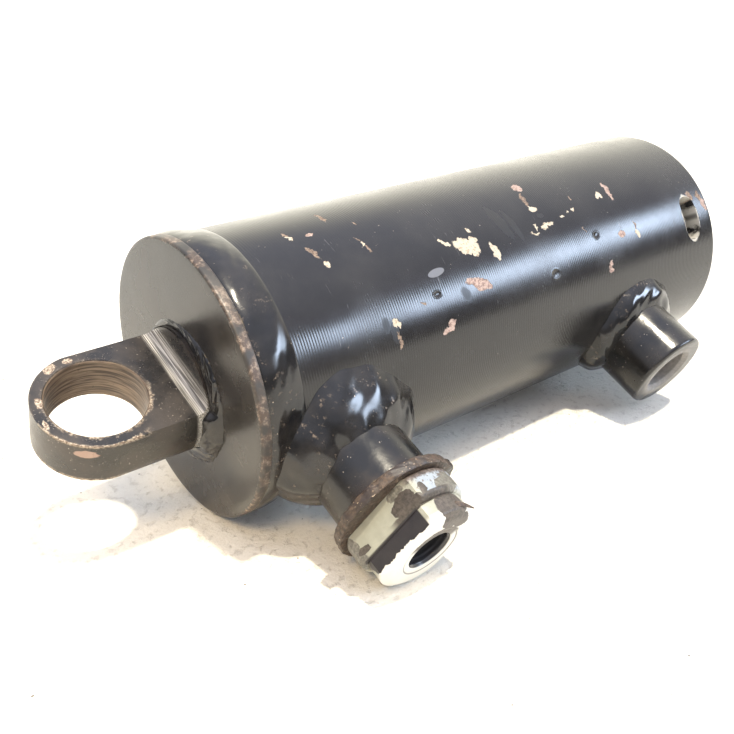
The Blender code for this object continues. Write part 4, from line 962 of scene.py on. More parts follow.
RUST_CHIPS = [
    (108.9, 85.9, 2.8, 0.6, -106), (126.6, 80.5, 1.0, 0.4, -86), (124.7, 63.1, 1.1, 0.3, -80),
    (147.9, 58.1, 1.5, 0.4, -82), (181.1, 64.0, 1.6, 1.2, -59), (185.4, 62.7, 1.9, 1.2, -74),
    (42.4, 106.7, 2.5, 0.6, -84), (28.2, 99.4, 1.0, 0.4, -63), (31.3, 86.9, 3.0, 0.8, -74),
    (45.8, 87.4, 0.8, 0.4, -67), (47.1, 81.3, 1.0, 0.3, -68), (44.9, 42.9, 2.8, 0.5, -93),
    (55.1, 53.4, 0.8, 0.4, -40), (49.3, 96.9, 0.7, 0.3, -41),
]
DENTS = [(106.7, 47.7, 1.5, 1.2, 0), (128.7, 58.9, 1.3, 1.0, 20), (60.8, 55.3, 1.2, 0.8, 0)]
SMUDGES = [(70.6, 51.6, 1.6, 2.4, 20), (110.2, 75.6, 1.6, 1.0, 0), (41.6, 49.9, 1.2, 2.2, 0),
           (44.0, 45.5, 1.2, 3.0, 0), (94.0, 78.0, 2.0, 7.0, 12), (98.0, 75.0, 1.2, 6.0, 8)]
WORN_MARKS = [(63.1, 63.9, 3.0, 1.1, 6)]


def on_barrel(rows):
    """Rows given as x and degrees, with the degrees turned into arc."""
    return [(x, math.radians(turn) * BARREL_R / MM, a, b, c) for x, turn, a, b, c in rows]


def barrel_paint(name, amount):
    """Glossy black paint over fine turned grooves, with chips down to filler, primer and rust."""
    f = Finish(name)
    flat = f.flat()
    u = f.node("ShaderNodeSeparateXYZ", {0: flat}).outputs[0]
    rough_place = f.ragged(f.ragged(flat, 3.2, 2.6), 1.5, 0.8)
    cream, pink, rust = (f.step(f.spots(rough_place, on_barrel(rows)), 1.06, 0.94)
                         for rows in (CREAM_CHIPS, PINK_CHIPS, RUST_CHIPS))
    soft_place = f.ragged(flat, 0.8, 2.5)
    smudge = f.step(f.spots(soft_place, on_barrel(SMUDGES)), 1.25, 0.5)
    worn = f.step(f.spots(flat, on_barrel(WORN_MARKS)), 1.04, 0.97)
    dent = f.spots(flat, on_barrel(DENTS))
    cloud = f.noise(22.0, 4.0)
    fine_cloud = f.noise(2.2, 5.0, 0.65)
    speck_field = f.times(f.step(f.noise(0.85, 2.0, 0.6), 0.735 - 0.02 * amount, 0.79), amount)
    specks = f.times(speck_field, f.step(f.noise(14.0, 3.0), 0.47, 0.6), clamp=True)
    scratch = f.noise(1.0, 3.0, 0.6, flat, (1.6, 0.16, 1.0), 0.4)
    scratches = f.times(f.step(scratch, 0.665, 0.72), f.step(f.noise(17.0, 2.0), 0.42, 0.62))
    groove = f.math("SINE", f.times(u, 2 * math.pi / GROOVE_PITCH))
    groove = f.times(groove, f.step(f.noise(26.0, 2.0), 0.3, 0.7, 0.35, 1.0))
    paint = f.mix(f.step(cloud, 0.35, 0.7), (0.006, 0.0056, 0.006), (0.013, 0.012, 0.0115))
    paint = f.mix(f.times(fine_cloud, 0.3), paint, (0.022, 0.02, 0.018))
    paint = f.mix(worn, paint, (0.13, 0.135, 0.15))
    paint = f.mix(f.times(scratches, 0.6), paint, (0.10, 0.095, 0.095))
    paint = f.mix(f.times(smudge, 0.9), paint, (0.006, 0.006, 0.007))
    paint = f.mix(f.times(specks, 0.75), paint, (0.34, 0.29, 0.24))
    grain = f.noise(0.7, 4.0, 0.7)
    paint = f.mix(rust, paint, f.mix(f.step(grain, 0.35, 0.62), (0.05, 0.026, 0.017), (0.24, 0.17, 0.12)))
    paint = f.mix(pink, paint, f.mix(f.step(grain, 0.36, 0.6), (0.15, 0.09, 0.07), (0.37, 0.27, 0.225)))
    paint = f.mix(cream, paint, f.mix(f.step(grain, 0.34, 0.5), (0.22, 0.16, 0.10), (0.44, 0.38, 0.29)))
    slot = [(SLOT_X / MM, math.degrees(SLOT_ANGLE), SLOT_HALF_ARC / MM, SLOT_HALF_X / MM, 90)]
    around_slot = f.minus(f.spots(flat, on_barrel(slot)), f.times(fine_cloud, 0.3))
    lip = f.times(f.step(around_slot, 1.02, 0.9), f.step(f.spots(flat, on_barrel(slot)), 0.99, 1.02))
    cream = f.most(cream, lip)
    paint = f.mix(lip, paint, (0.45, 0.42, 0.36))
    bare = f.most(f.most(cream, pink), rust)
    shine = f.step(cloud, 0.3, 0.75, 0.17, 0.27)
    shine = f.plus(shine, f.times(f.minus(fine_cloud, 0.5), 0.12))
    shine = f.plus(shine, f.times(groove, 0.02))
    shine = f.plus(shine, f.times(bare, 0.45), clamp=True)
    shine = f.plus(shine, f.times(smudge, 0.2), clamp=True)
    bowl = f.times(f.step(dent, 1.3, 0.2), -0.22)
    lip = f.times(f.step(f.math("ABSOLUTE", f.minus(dent, 1.25)), 0.4, 0.0), 0.05)
    height = f.plus(f.times(groove, 0.013), f.times(bare, -0.07))
    height = f.plus(height, f.times(f.times(grain, bare), 0.06))
    height = f.plus(height, f.plus(bowl, lip))
    height = f.plus(height, f.times(fine_cloud, 0.008))
    height = f.plus(height, f.times(scratches, -0.006))
    return f.finish(paint, shine, height)


def cap_paint(name):
    """Dulled black paint of the cap's face, with a brown worn rim and a few scratches."""
    f = Finish(name)
    cloud = f.noise(16.0, 4.0)
    grain = f.noise(1.1, 4.0, 0.7)
    far = f.hypot(f.y, f.z)
    edge = f.plus(far, f.times(f.minus(grain, 0.5), 2.2))
    rim = f.times(f.step(edge, 38.0, 38.7), f.step(f.x, 3.4, 2.2))
    face = f.step(f.x, 0.6, 0.1)
    line = f.noise(1.0, 2.0, 0.6, None, (1.0, 0.12, 1.1), 0.8)
    marks = f.times(f.step(line, 0.69, 0.73), f.step(f.noise(9.0, 2.0), 0.45, 0.6))
    paint = f.mix(f.step(cloud, 0.3, 0.7), (0.012, 0.011, 0.010), (0.034, 0.03, 0.026))
    brown = f.mix(f.step(grain, 0.45, 0.7), (0.055, 0.036, 0.026), (0.26, 0.20, 0.15))
    paint = f.mix(f.times(rim, f.step(f.noise(5.0, 3.0), 0.4, 0.6)), paint, brown)
    paint = f.mix(f.times(f.times(marks, face), 0.6), paint, (0.25, 0.22, 0.19))
    shine = f.step(cloud, 0.3, 0.7, 0.2, 0.3)
    shine = f.plus(shine, f.times(rim, 0.18))
    dish = f.noise(30.0, 1.0)
    height = f.weighted((grain, 0.02), (dish, 0.25), (marks, -0.02))
    return f.finish(paint, shine, height)


def weld_paint(name, matrix):
    """Glossy black paint over a weld bead: soft ripples, dust in the hollows and a few rubbed spots.
    """
    f = Finish(name, matrix)
    cloud = f.noise(7.0, 4.0)
    grain = f.noise(1.4, 4.0, 0.65)
    paint = f.mix(f.step(cloud, 0.35, 0.7), (0.006, 0.006, 0.0065), (0.017, 0.015, 0.0135))
    dust = f.times(f.step(grain, 0.56, 0.74), f.step(f.noise(10.0, 2.0), 0.45, 0.62))
    paint = f.mix(f.times(dust, 0.8), paint, (0.20, 0.155, 0.115))
    spark = f.times(f.step(f.noise(0.8, 2.0), 0.72, 0.78), f.step(f.noise(12.0, 2.0), 0.48, 0.6))
    paint = f.mix(spark, paint, (0.5, 0.42, 0.33))
    shine = f.plus(f.step(cloud, 0.3, 0.7, 0.11, 0.2), f.times(dust, 0.3))
    height = f.weighted((grain, 0.014), (f.noise(5.5, 1.0), 0.2))
    return f.finish(paint, shine, height)


def boss_paint(name, matrix, grease):
    """Satin black paint of a port boss: greasy and speckled by the adaptor, grey and dusty in an
    open port.
    """
    f = Finish(name, matrix)
    cloud = f.noise(9.0, 4.0)
    grain = f.noise(1.0, 4.0, 0.7)
    far = f.hypot(f.y, f.z)
    paint = f.mix(f.step(cloud, 0.35, 0.7), (0.006, 0.006, 0.006), (0.019, 0.016, 0.013))
    specks = f.times(f.step(f.noise(0.75, 2.0), 0.69, 0.75), f.step(f.noise(8.0, 2.0), 0.42, 0.58))
    paint = f.mix(f.times(specks, 0.8), paint, (0.45, 0.40, 0.34))
    inside = f.step(far, 12.0, 9.0)
    dusty = f.mix(grain, (0.10, 0.094, 0.088), (0.34, 0.315, 0.285))
    paint = f.mix(inside, paint, dusty)
    top = f.step(f.x, BOSS_TOP / MM - 4.0, BOSS_TOP / MM - 0.5)
    oily = f.times(f.times(top, grease), f.step(cloud, 0.35, 0.6))
    paint = f.mix(f.times(oily, 0.8), paint, (0.022, 0.014, 0.009))
    shine = f.plus(f.step(cloud, 0.3, 0.7, 0.16, 0.3), f.times(inside, 0.35))
    height = f.weighted((grain, 0.02), (f.noise(4.0, 2.0), 0.06))
    return f.finish(paint, shine, height)


def lug_paint(name):
    """Worn black paint of the lug: brown cheeks, machined lines across the shoulder under a pale painted
    highlight strip, bare edges, a rusty bore.
    """
    f = Finish(name, LUG)
    cloud = f.noise(9.0, 4.0)
    grain = f.noise(1.2, 5.0, 0.7)
    tiny = f.noise(0.55, 3.0, 0.6)
    side = f.math("ABSOLUTE", f.z)
    off = f.minus(f.x, EYE_X / MM)
    eye = f.hypot(off, f.y)
    paint = f.mix(f.step(cloud, 0.32, 0.68), (0.010, 0.009, 0.008), (0.034, 0.027, 0.022))
    specks = f.times(f.step(tiny, 0.64, 0.72), f.step(f.noise(7.0, 3.0), 0.4, 0.6))
    paint = f.mix(f.times(specks, 0.7), paint, (0.42, 0.36, 0.30))
    lines = f.noise(0.5, 2.0, 0.5, None, (1.6, 0.03, 1.6))
    # Painted highlight: the shoulder fillet's strip gets a pale colour along its machined lines, standing in
    # for the bright reflection there.
    root = f.times(f.step(f.x, -5.2, -4.0), f.step(f.x, -1.0, -1.7))
    root = f.times(root, f.step(side, 12.0, 9.0))
    paint = f.mix(f.times(root, f.step(lines, 0.4, 0.65, 0.15, 0.9)), paint, (0.55, 0.53, 0.49))
    chips = f.ragged(f.point, 2.2, 2.4)
    flat_chips = f.vector("MULTIPLY", chips, (1.0, 1.0, 0.0))
    chip = f.step(f.spots(flat_chips, LUG_CHIPS), 1.1, 0.9)
    chip = f.times(chip, f.step(f.z, 6.0, 6.3))
    near_eye = f.plus(eye, f.times(f.minus(grain, 0.5), 3.6))
    worn = f.times(f.step(near_eye, 13.9, 12.7), f.step(side, 5.2, 6.2))
    outer = f.plus(f.minus(15.9, eye), f.times(grain, 1.6))
    round_end = f.times(f.step(f.x, -16.0, -21.0), f.step(side, 5.4, 6.4))
    worn = f.most(worn, f.times(f.step(outer, 1.35, 0.8), round_end))
    worn = f.times(worn, f.step(f.noise(3.0, 3.0), 0.36, 0.5))
    worn = f.times(worn, f.step(f.y, 4.0, -7.0, 0.12, 1.0))
    bare = f.mix(f.step(tiny, 0.4, 0.6), (0.12, 0.08, 0.055), (0.42, 0.35, 0.27))
    paint = f.mix(f.most(worn, chip), paint, bare)
    rim = f.times(f.step(eye, 15.0, 15.6), f.step(side, 6.2, 5.8))
    across = f.node("ShaderNodeCombineXYZ", {0: f.y, 1: f.z}).outputs[0]
    patch = f.spots(f.ragged(across, 1.4, 1.5), RIM_PATCHES)
    pinkish = f.times(f.times(f.step(patch, 1.1, 0.9), rim), f.step(f.x, -20.0, -24.0))
    paint = f.mix(pinkish, paint, (0.30, 0.20, 0.155))
    bore = f.times(f.step(eye, 12.95, 12.7), f.step(side, 6.4, 6.1))
    rings = f.noise(0.9, 3.0, 0.6, None, (0.08, 0.08, 1.6))
    rusty = f.mix(f.step(rings, 0.35, 0.66), (0.045, 0.028, 0.018), (0.23, 0.165, 0.11))
    rusty = f.mix(f.step(grain, 0.62, 0.72), rusty, (0.035, 0.02, 0.014))
    paint = f.mix(bore, paint, rusty)
    shine = f.step(cloud, 0.3, 0.7, 0.24, 0.38)
    shine = f.plus(shine, f.times(f.most(worn, bore), 0.16))
    shine = f.minus(shine, f.times(root, 0.16))
    height = f.weighted((grain, 0.05), (worn, -0.06), (f.times(root, lines), 0.05),
                        (f.times(bore, rings), 0.07), (specks, 0.02))
    return f.finish(paint, shine, height, f.times(worn, 0.35))


LUG_CHIPS = [(-30.6, 13.2, 2.0, 1.3, 25), (-37.2, 3.6, 1.1, 1.8, 10), (-25.5, 14.2, 1.4, 0.8, 0),
             (-38.4, -3.4, 0.7, 1.2, 0)]
RIM_PATCHES = [(-13.2, 3.4, 1.6, 1.3, 0), (8.0, 1.0, 1.0, 0.8, 0)]


def rusty_ring(name):
    """Rust and old grease on the squeezed ring, nearly black and wet at one end."""
    f = Finish(name, CAP_PORT)
    grain = f.noise(1.0, 5.0, 0.7)
    cloud = f.noise(5.0, 4.0)
    color = f.mix(f.step(grain, 0.35, 0.65), (0.02, 0.013, 0.009), (0.085, 0.056, 0.037))
    color = f.mix(f.step(cloud, 0.5, 0.68), color, (0.028, 0.02, 0.017))
    dots = f.times(f.step(f.noise(0.6, 2.0), 0.66, 0.72), f.step(cloud, 0.4, 0.6))
    color = f.mix(dots, color, (0.55, 0.42, 0.29))
    angle = f.math("ARCTAN2", f.z, f.y)
    wet = f.step(f.math("ABSOLUTE", f.minus(angle, math.radians(24.0))), 0.2, 0.1)
    color = f.mix(wet, color, (0.008, 0.007, 0.006))
    shine = f.minus(f.step(cloud, 0.3, 0.7, 0.62, 0.4), f.times(wet, 0.25))
    height = f.weighted((grain, 0.16), (cloud, 0.2))
    return f.finish(color, shine, height)


def arc(degrees):
    """Arc on the adaptor's pattern map for a direction in degrees, in millimetres."""
    return math.radians(degrees) * FLAT_SCALE / MM


DARK_BARE = [(65.3, arc(118), 2.1, 3.6, 10), (64.2, arc(113), 1.7, 2.6, 0), (66.6, arc(112), 1.8, 3.6, 0),
             (65.6, arc(183), 0.9, 1.5, 10), (65.6, arc(93.5), 2.3, 0.75, 8)]
GREY_PRIMER = [(61.6, arc(117), 1.4, 2.6, 0), (64.2, arc(192), 3.2, 1.6, 0), (62.6, arc(199), 3.0, 3.2, 0),
               (66.5, arc(200), 3.0, 3.4, 0), (66.2, arc(66), 2.4, 3.6, 0), (64.8, arc(56), 2.6, 3.0, 0)]
BLACK_PATCH = [(69.6, arc(126), 3.0, 6.4, 0), (69.4, arc(150), 2.8, 7.4, 0), (69.2, arc(174), 3.1, 6.2, 0),
               (69.0, arc(186), 3.2, 2.6, 0), (71.4, arc(113.5), 1.7, 2.2, 0)]
BROWN_BARE = [(71.2, arc(76), 4.0, 3.8, 0), (71.5, arc(62), 3.6, 3.0, 0), (75.6, arc(72), 2.8, 4.4, 0),
              (75.8, arc(50), 2.4, 4.0, 0)]


def adaptor_paint(name):
    """Cream paint peeling off the adaptor: bare brown and grey steel, a black patch on the nose's flat, with
    painted light: a blue-grey tint on the collar's round, a whiter lit nose end and a dark crease strip as
    painted shade.
    """
    f = Finish(name, CAP_PORT)
    flat = f.flat()
    split = f.node("ShaderNodeSeparateXYZ", {0: flat})
    u, v = split.outputs[0], split.outputs[1]
    rag = f.ragged(flat, 1.3, 1.5)
    grain = f.noise(0.9, 5.0, 0.7)
    cloud = f.noise(6.0, 3.0)
    cream = f.mix(f.step(cloud, 0.35, 0.7), (0.31, 0.31, 0.25), (0.25, 0.25, 0.20))
    # Painted cool light: on the collar the cream turns blue-grey where the pattern's arc is under about 90
    # degrees, standing in for skylight on the rounded side.
    painted_cool_light = f.times(f.step(v, arc(100), arc(90)), f.step(u, 68.0, 67.0))
    cream = f.mix(painted_cool_light, cream, f.mix(f.noise(2.0, 4.0), (0.19, 0.23, 0.27), (0.36, 0.39, 0.42)))
    # Painted light: the nose's end and front face get a whiter copy of the cream paint, standing in for the
    # light they catch.
    painted_lit_front = f.step(u, 71.0, 72.6)
    cream = f.mix(painted_lit_front, cream, (0.62, 0.61, 0.56))
    dirt = f.step(grain, 0.58, 0.75, 0.0, 0.35)
    color = f.mix(dirt, cream, (0.25, 0.225, 0.18))
    primer = f.step(f.spots(rag, GREY_PRIMER), 1.04, 0.96)
    color = f.mix(primer, color, f.mix(f.step(grain, 0.35, 0.7), (0.085, 0.08, 0.066), (0.19, 0.18, 0.15)))
    bare_and_crease_shade = f.step(f.spots(rag, DARK_BARE), 1.03, 0.97)
    # Painted shade: the chamfer strip between collar and nose is coloured as dark steel, standing in for the
    # shade in the crease; it is added to the bare patches and also counts as peeled for roughness and bump.
    strip = f.times(f.step(f.plus(u, f.times(grain, 0.6)), 66.5, 66.8), f.step(u, 68.3, 68.1))
    strip = f.times(strip, f.times(f.step(v, arc(60), arc(70)), f.step(v, arc(150), arc(130))))
    bare_and_crease_shade = f.most(bare_and_crease_shade, strip)
    steel = f.mix(f.step(grain, 0.3, 0.7), (0.03, 0.025, 0.02), (0.085, 0.07, 0.056))
    color = f.mix(bare_and_crease_shade, color, steel)
    ring_side = f.plus(u, f.times(f.minus(grain, 0.5), 2.4))
    top = f.times(f.step(v, arc(35), arc(50)), f.step(v, arc(112), arc(98)))
    rust_edge = f.times(f.step(ring_side, 62.6, 61.8), top)
    speckle = f.times(f.step(f.noise(1.3, 4.0, 0.7), 0.53, 0.6), f.times(f.step(u, 66.0, 64.0), top))
    rusty = f.mix(f.step(grain, 0.35, 0.65), (0.04, 0.03, 0.026), (0.15, 0.12, 0.105))
    color = f.mix(f.most(rust_edge, speckle), color, rusty)
    brown_mask = f.step(f.spots(rag, BROWN_BARE), 1.03, 0.97)
    far = f.hypot(f.y, f.z)
    mark = f.plus(far, f.times(f.minus(grain, 0.5), 1.2))
    seat = f.times(f.step(mark, 9.0, 8.7), f.step(f.x, 73.0, 73.4))
    upper = f.times(f.step(v, arc(20), arc(40)), f.step(v, arc(160), arc(140)))
    line = f.times(f.step(f.math("ABSOLUTE", f.minus(far, 8.1)), 0.3, 0.1), f.step(f.x, 73.0, 73.4))
    seat = f.most(f.times(seat, upper), f.times(line, 0.7))
    brown_mask = f.most(brown_mask, seat)
    brown = f.mix(f.step(grain, 0.3, 0.7), (0.03, 0.025, 0.021), (0.10, 0.083, 0.07))
    color = f.mix(brown_mask, color, brown)
    black_mask = f.step(f.spots(f.ragged(flat, 2.0, 1.8), BLACK_PATCH), 1.03, 0.97)
    black_mask = f.times(black_mask, f.step(v, arc(107.0), arc(108.5)))
    black_mask = f.times(black_mask, f.step(u, NOSE_START / MM - 0.5, NOSE_START / MM - 0.1))
    color = f.mix(black_mask, color, f.mix(f.noise(3.0, 4.0), (0.010, 0.0085, 0.009), (0.022, 0.018, 0.018)))
    inside = f.step(far, 6.45, 6.25)
    thread = f.times(f.math("SINE", f.times(f.x, 2 * math.pi / 1.34)), inside)
    color = f.mix(inside, color, (0.035, 0.034, 0.036))
    peeled_and_crease = f.most(f.most(primer, bare_and_crease_shade), f.most(brown_mask, black_mask))
    shine = f.plus(f.step(cloud, 0.3, 0.7, 0.26, 0.4), f.times(peeled_and_crease, 0.12))
    shine = f.minus(shine, f.times(inside, 0.15))
    height = f.weighted((peeled_and_crease, -0.1), (grain, 0.035), (thread, 0.05))
    return f.finish(color, shine, height)


def metal(name, color, roughness, matrix=None, ring_size=0.35, wear=0.02):
    """Turned or drawn metal: fine rings around the axis, small variations of tone and shine."""
    f = Finish(name, matrix)
    rings = f.noise(ring_size, 3.0, 0.6, None, (1.0, 0.02, 0.02))
    cloud = f.noise(6.0, 4.0)
    dark = tuple(0.6 * value for value in color)
    tone = f.mix(f.step(f.weighted((rings, 0.5), (cloud, 0.5)), 0.35, 0.65), dark, color)
    shine = f.step(cloud, 0.3, 0.7, roughness * 0.8, roughness * 1.25)
    height = f.weighted((rings, wear), (f.noise(1.0, 4.0), wear))
    return f.finish(tone, shine, height, 1.0)


def gland_metal(name):
    """Gland steel: turned and oily inside, on its end face black paint rubbed down to steel."""
    f = Finish(name)
    rings = f.noise(0.4, 3.0, 0.6, None, (1.0, 0.03, 0.03))
    cloud = f.noise(5.0, 4.0)
    end = GLAND_END / MM
    face = f.times(f.step(f.x, end - 1.6, end - 0.9), f.step(f.noise(2.4, 4.0), 0.7, 0.6))
    steel = f.mix(f.step(rings, 0.35, 0.65), (0.2, 0.195, 0.19), (0.36, 0.355, 0.35))
    color = f.mix(face, steel, (0.016, 0.015, 0.015))
    shine = f.step(cloud, 0.3, 0.7, 0.26, 0.42)
    height = f.weighted((rings, 0.02), (f.noise(1.2, 4.0), 0.02))
    return f.finish(color, shine, height, f.minus(1.0, face, clamp=True))


def moulded(name, color, roughness, speckle):
    """Moulded seal or band: faint flow marks, tiny specks and scuffs from its groove."""
    f = Finish(name)
    cloud = f.noise(4.0, 4.0)
    grain = f.noise(0.6, 3.0, 0.6)
    light = tuple(min(1.0, 1.35 * value + 0.01) for value in color)
    tone = f.mix(f.step(cloud, 0.35, 0.7), color, light)
    tone = f.mix(f.step(grain, 0.62, 0.72, 0.0, speckle), tone, tuple(0.5 * value for value in color))
    shine = f.step(cloud, 0.3, 0.7, roughness, roughness * 1.3)
    flow = f.noise(0.5, 2.0, 0.5, None, (1.0, 0.05, 0.05))
    height = f.weighted((grain, 0.012), (flow, 0.015))
    return f.finish(tone, shine, height)


def rod_chrome(name):
    """Hard chrome on a ground rod: fine rings, faint lengthwise hairlines and an oil film. The end
    is bare steel.
    """
    f = Finish(name)
    rings = f.noise(0.25, 2.0, 0.5, None, (1.0, 0.01, 0.01))
    hair = f.noise(0.7, 3.0, 0.6, None, (0.02, 1.0, 1.0))
    cloud = f.noise(12.0, 3.0)
    film = f.step(cloud, 0.35, 0.7)
    far = f.hypot(f.y, f.z)
    end = f.step(far, ROD_R / MM - 0.4, ROD_R / MM - 0.9)
    color = f.mix(film, (0.62, 0.63, 0.65), (0.55, 0.54, 0.52))
    color = f.mix(end, color, f.mix(f.noise(1.0, 4.0), (0.18, 0.17, 0.165), (0.4, 0.39, 0.38)))
    shine = f.plus(f.step(cloud, 0.3, 0.7, 0.07, 0.15), f.times(end, 0.25))
    height = f.weighted((rings, 0.002), (hair, 0.002))
    return f.finish(color, shine, height, 1.0)


def floor_plaster(name):
    """Pale floor with a fine plaster grain."""
    f = Finish(name, np.eye(4))
    grain = f.noise(1.6, 5.0, 0.7)
    cloud = f.noise(60.0, 3.0)
    tone = f.mix(f.step(cloud, 0.3, 0.7), FLOOR_LIGHT, FLOOR_DARK)
    pits = f.step(f.noise(2.6, 5.0, 0.65), 0.53, 0.66, 0.0, 0.5)
    tone = f.mix(pits, tone, FLOOR_PIT)
    crumbs = f.times(f.step(f.noise(2.2, 1.0), 0.775, 0.80), 0.9)
    tone = f.mix(crumbs, tone, (0.09, 0.075, 0.06))
    height = f.weighted((grain, 0.5), (pits, -0.35))
    return f.finish(tone, 0.85, height)


FLOOR_LIGHT = (0.80, 0.775, 0.70)
FLOOR_DARK = (0.76, 0.735, 0.665)
FLOOR_PIT = (0.56, 0.53, 0.47)


def dress(obj, material, body="barrel", nodes=()):
    """Give a new piece its finish, its body and the nodes that it stands for."""
    obj.data.materials.clear()
    obj.data.materials.append(material)
    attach(obj, body)
    if nodes:
        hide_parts(*nodes)
    return obj


def soften(obj, width, segments=2, limit=35.0):
    """Round the sharp edges of a piece."""
    bevel = obj.modifiers.new("round edges", "BEVEL")
    bevel.width = width
    bevel.segments = segments
    bevel.limit_method = "ANGLE"
    bevel.angle_limit = math.radians(limit)
    bevel.harden_normals = False
    return obj


def refinish(node, material):
    """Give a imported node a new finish."""
    obj = frame["nodes"][node]
    for slot in obj.material_slots:
        slot.material = material


# Properties and operators.
class CylinderLook(bpy.types.PropertyGroup):
    """What a user would change on the cylinder's looks."""

    chip_amount: bpy.props.FloatProperty(
        name="Specks", description="How many tiny specks the barrel's paint has", default=1.0, min=0.0,
        max=2.0, subtype="FACTOR",
    )
    weld_crown: bpy.props.FloatProperty(
        name="Weld crown", description="Height of the port beads over their straight slope", default=0.9 * MM,
        min=0.0, max=2.0 * MM, subtype="DISTANCE", unit="LENGTH",
    )
    sun_strength: bpy.props.FloatProperty(
        name="Key light", description="Strength of the main light", default=4.4, min=0.0, max=20.0,
    )
    fill_strength: bpy.props.FloatProperty(
        name="Warm fill", description="Strength of the light under the lug", default=22.0, min=0.0, max=50.0,
    )
    sun_color: bpy.props.FloatVectorProperty(
        name="Key light colour", description="Colour of the main light", default=(1.0, 0.91, 0.72), size=3,
        min=0.0, max=1.0, subtype="COLOR",
    )
    seal_color: bpy.props.FloatVectorProperty(
        name="Seal colour", description="Colour of the rod seal and the wiper",
        default=(0.04, 0.12, 0.30), size=3, min=0.0, max=1.0, subtype="COLOR",
    )


class CYLINDER_OT_barrel(bpy.types.Operator):
    """Build the painted barrel tube with its slot, and the cap"""

    bl_idname = "cylinder.barrel"
    bl_label = "Barrel and cap"

    def execute(self, context):
        look = context.scene.cylinder_look
        black = barrel_paint("barrel_black_paint", look.chip_amount)
        dress(barrel_surface().piece("barrel_skin", BARREL), black, nodes=["barrel_tube"])
        outline = rounded([
            (17.5 * MM, 0.0, 0.0), (17.5 * MM, BORE_R - 0.3 * MM, 1.2 * MM),
            (7.0 * MM, BORE_R - 0.3 * MM, 0.0), (7.0 * MM, BORE_R + 2.5 * MM, 0.0), (CAP_EDGE, CAP_R, 0.0),
            (0.0, CAP_R, 0.9 * MM), (0.0, 0.0, 0.0),
        ], 5, closed=False)
        outline = np.concatenate([fine(outline[:-1], 3.0 * MM), fine(outline[-2:], 2.0 * MM)[1:]])
        plate = turned_piece("cap_plate", outline, BARREL, 192, False)
        dress(plate, cap_paint("cap_black_paint"), nodes=["end_cap"])
        return {"FINISHED"}


class CYLINDER_OT_lug(bpy.types.Operator):
    """Build the eye lug"""

    bl_idname = "cylinder.lug"
    bl_label = "Eye lug"

    def execute(self, context):
        lug = lug_surface().piece("eye_lug", LUG, 30)
        soften(lug, 0.45 * MM)
        dress(lug, lug_paint("lug_worn_paint"), nodes=["base_lug"])
        return {"FINISHED"}


class CYLINDER_OT_welds(bpy.types.Operator):
    """Build the hand laid weld beads"""

    bl_idname = "cylinder.welds"
    bl_label = "Weld beads"

    def execute(self, context):
        crown = context.scene.cylinder_look.weld_crown
        for name, shell, matrix, node in [
            ("cap_weld_bead", cap_weld_surface(), BARREL, "cap_weld"),
            ("lug_weld_bead", lug_weld_surface(), LUG, "lug_weld"),
            ("cap_port_bead", saddle_weld_surface(8.5 * MM, 8.5 * MM, crown, 4), CAP_PORT, "cap_port_weld"),
            ("rod_port_bead", saddle_weld_surface(5.2 * MM, 5.0 * MM, crown + 0.2 * MM, 26), ROD_PORT,
             "rod_port_weld"),
        ]:
            bead = weld_paint(name + "_paint", matrix)
            dress(shell.piece(name, matrix, 60), bead, nodes=[node])
        return {"FINISHED"}


class CYLINDER_OT_ports(bpy.types.Operator):
    """Build the port bosses, the sealing ring and the port adaptor"""

    bl_idname = "cylinder.ports"
    bl_label = "Ports and adaptor"

    def execute(self, context):
        near = boss_paint("cap_port_paint", CAP_PORT, 1.0)
        far = boss_paint("rod_port_paint", ROD_PORT, 0.0)
        dress(boss_surface().piece("cap_port_collar", CAP_PORT), near, nodes=["cap_port_boss"])
        dress(boss_surface().piece("rod_port_collar", ROD_PORT), far, nodes=["rod_port_boss"])
        ring = ring_surface().piece("crush_ring", CAP_PORT, 50)
        dress(ring, rusty_ring("ring_rust"), nodes=["sealing_ring"])
        cream = adaptor_paint("adaptor_peeling_paint")
        adaptor = adaptor_surface().piece("hose_adaptor", CAP_PORT, 22)
        dress(adaptor, cream, nodes=["port_adaptor"])
        dress(flake_surface().piece("paint_flake", CAP_PORT, 50), rusty_ring("flake_dark"))
        return {"FINISHED"}


class CYLINDER_OT_rod_end(bpy.types.Operator):
    """Build the gland, its locking wire and the rod, and finish the inner parts"""

    bl_idname = "cylinder.rod_end"
    bl_label = "Gland, wire, rod and seals"

    def execute(self, context):
        look = context.scene.cylinder_look
        seal = tuple(look.seal_color)
        gland = gland_surface().piece("gland_head", BARREL, 30)
        dress(gland, gland_metal("gland_steel"), nodes=["gland"])
        wire = wire_surface().piece("lock_wire", BARREL, 50)
        dress(wire, metal("wire_drawn_steel", (0.36, 0.35, 0.33), 0.35), nodes=["locking_wire"])
        rod = turned_piece("rod_bar", rod_outline(), BARREL, 160, False)
        dress(rod, rod_chrome("rod_hard_chrome"), body="rod", nodes=["piston_rod"])
        steel = metal("piston_steel", (0.42, 0.42, 0.43), 0.3)
        refinish("piston", steel)
        refinish("piston_nut", metal("nut_steel", (0.36, 0.36, 0.37), 0.38))
        blue = moulded("seal_urethane", seal, 0.3, 0.3)
        for node in ("rod_seal", "rod_wiper"):
            refinish(node, blue)
        rubber = moulded("black_rubber", (0.015, 0.015, 0.016), 0.55, 0.4)
        for node in ("gland_o_ring", "piston_seal_energiser", "piston_o_ring"):
            refinish(node, rubber)
        refinish("gland_backup_ring", moulded("white_plastic", (0.72, 0.71, 0.67), 0.4, 0.15))
        band = moulded("green_composite", (0.10, 0.16, 0.12), 0.5, 0.5)
        for node in ("rod_guide_band", "piston_guide_band_1", "piston_guide_band_2"):
            refinish(node, band)
        refinish("piston_seal", moulded("bronze_plastic", (0.28, 0.20, 0.13), 0.4, 0.4))
        return {"FINISHED"}


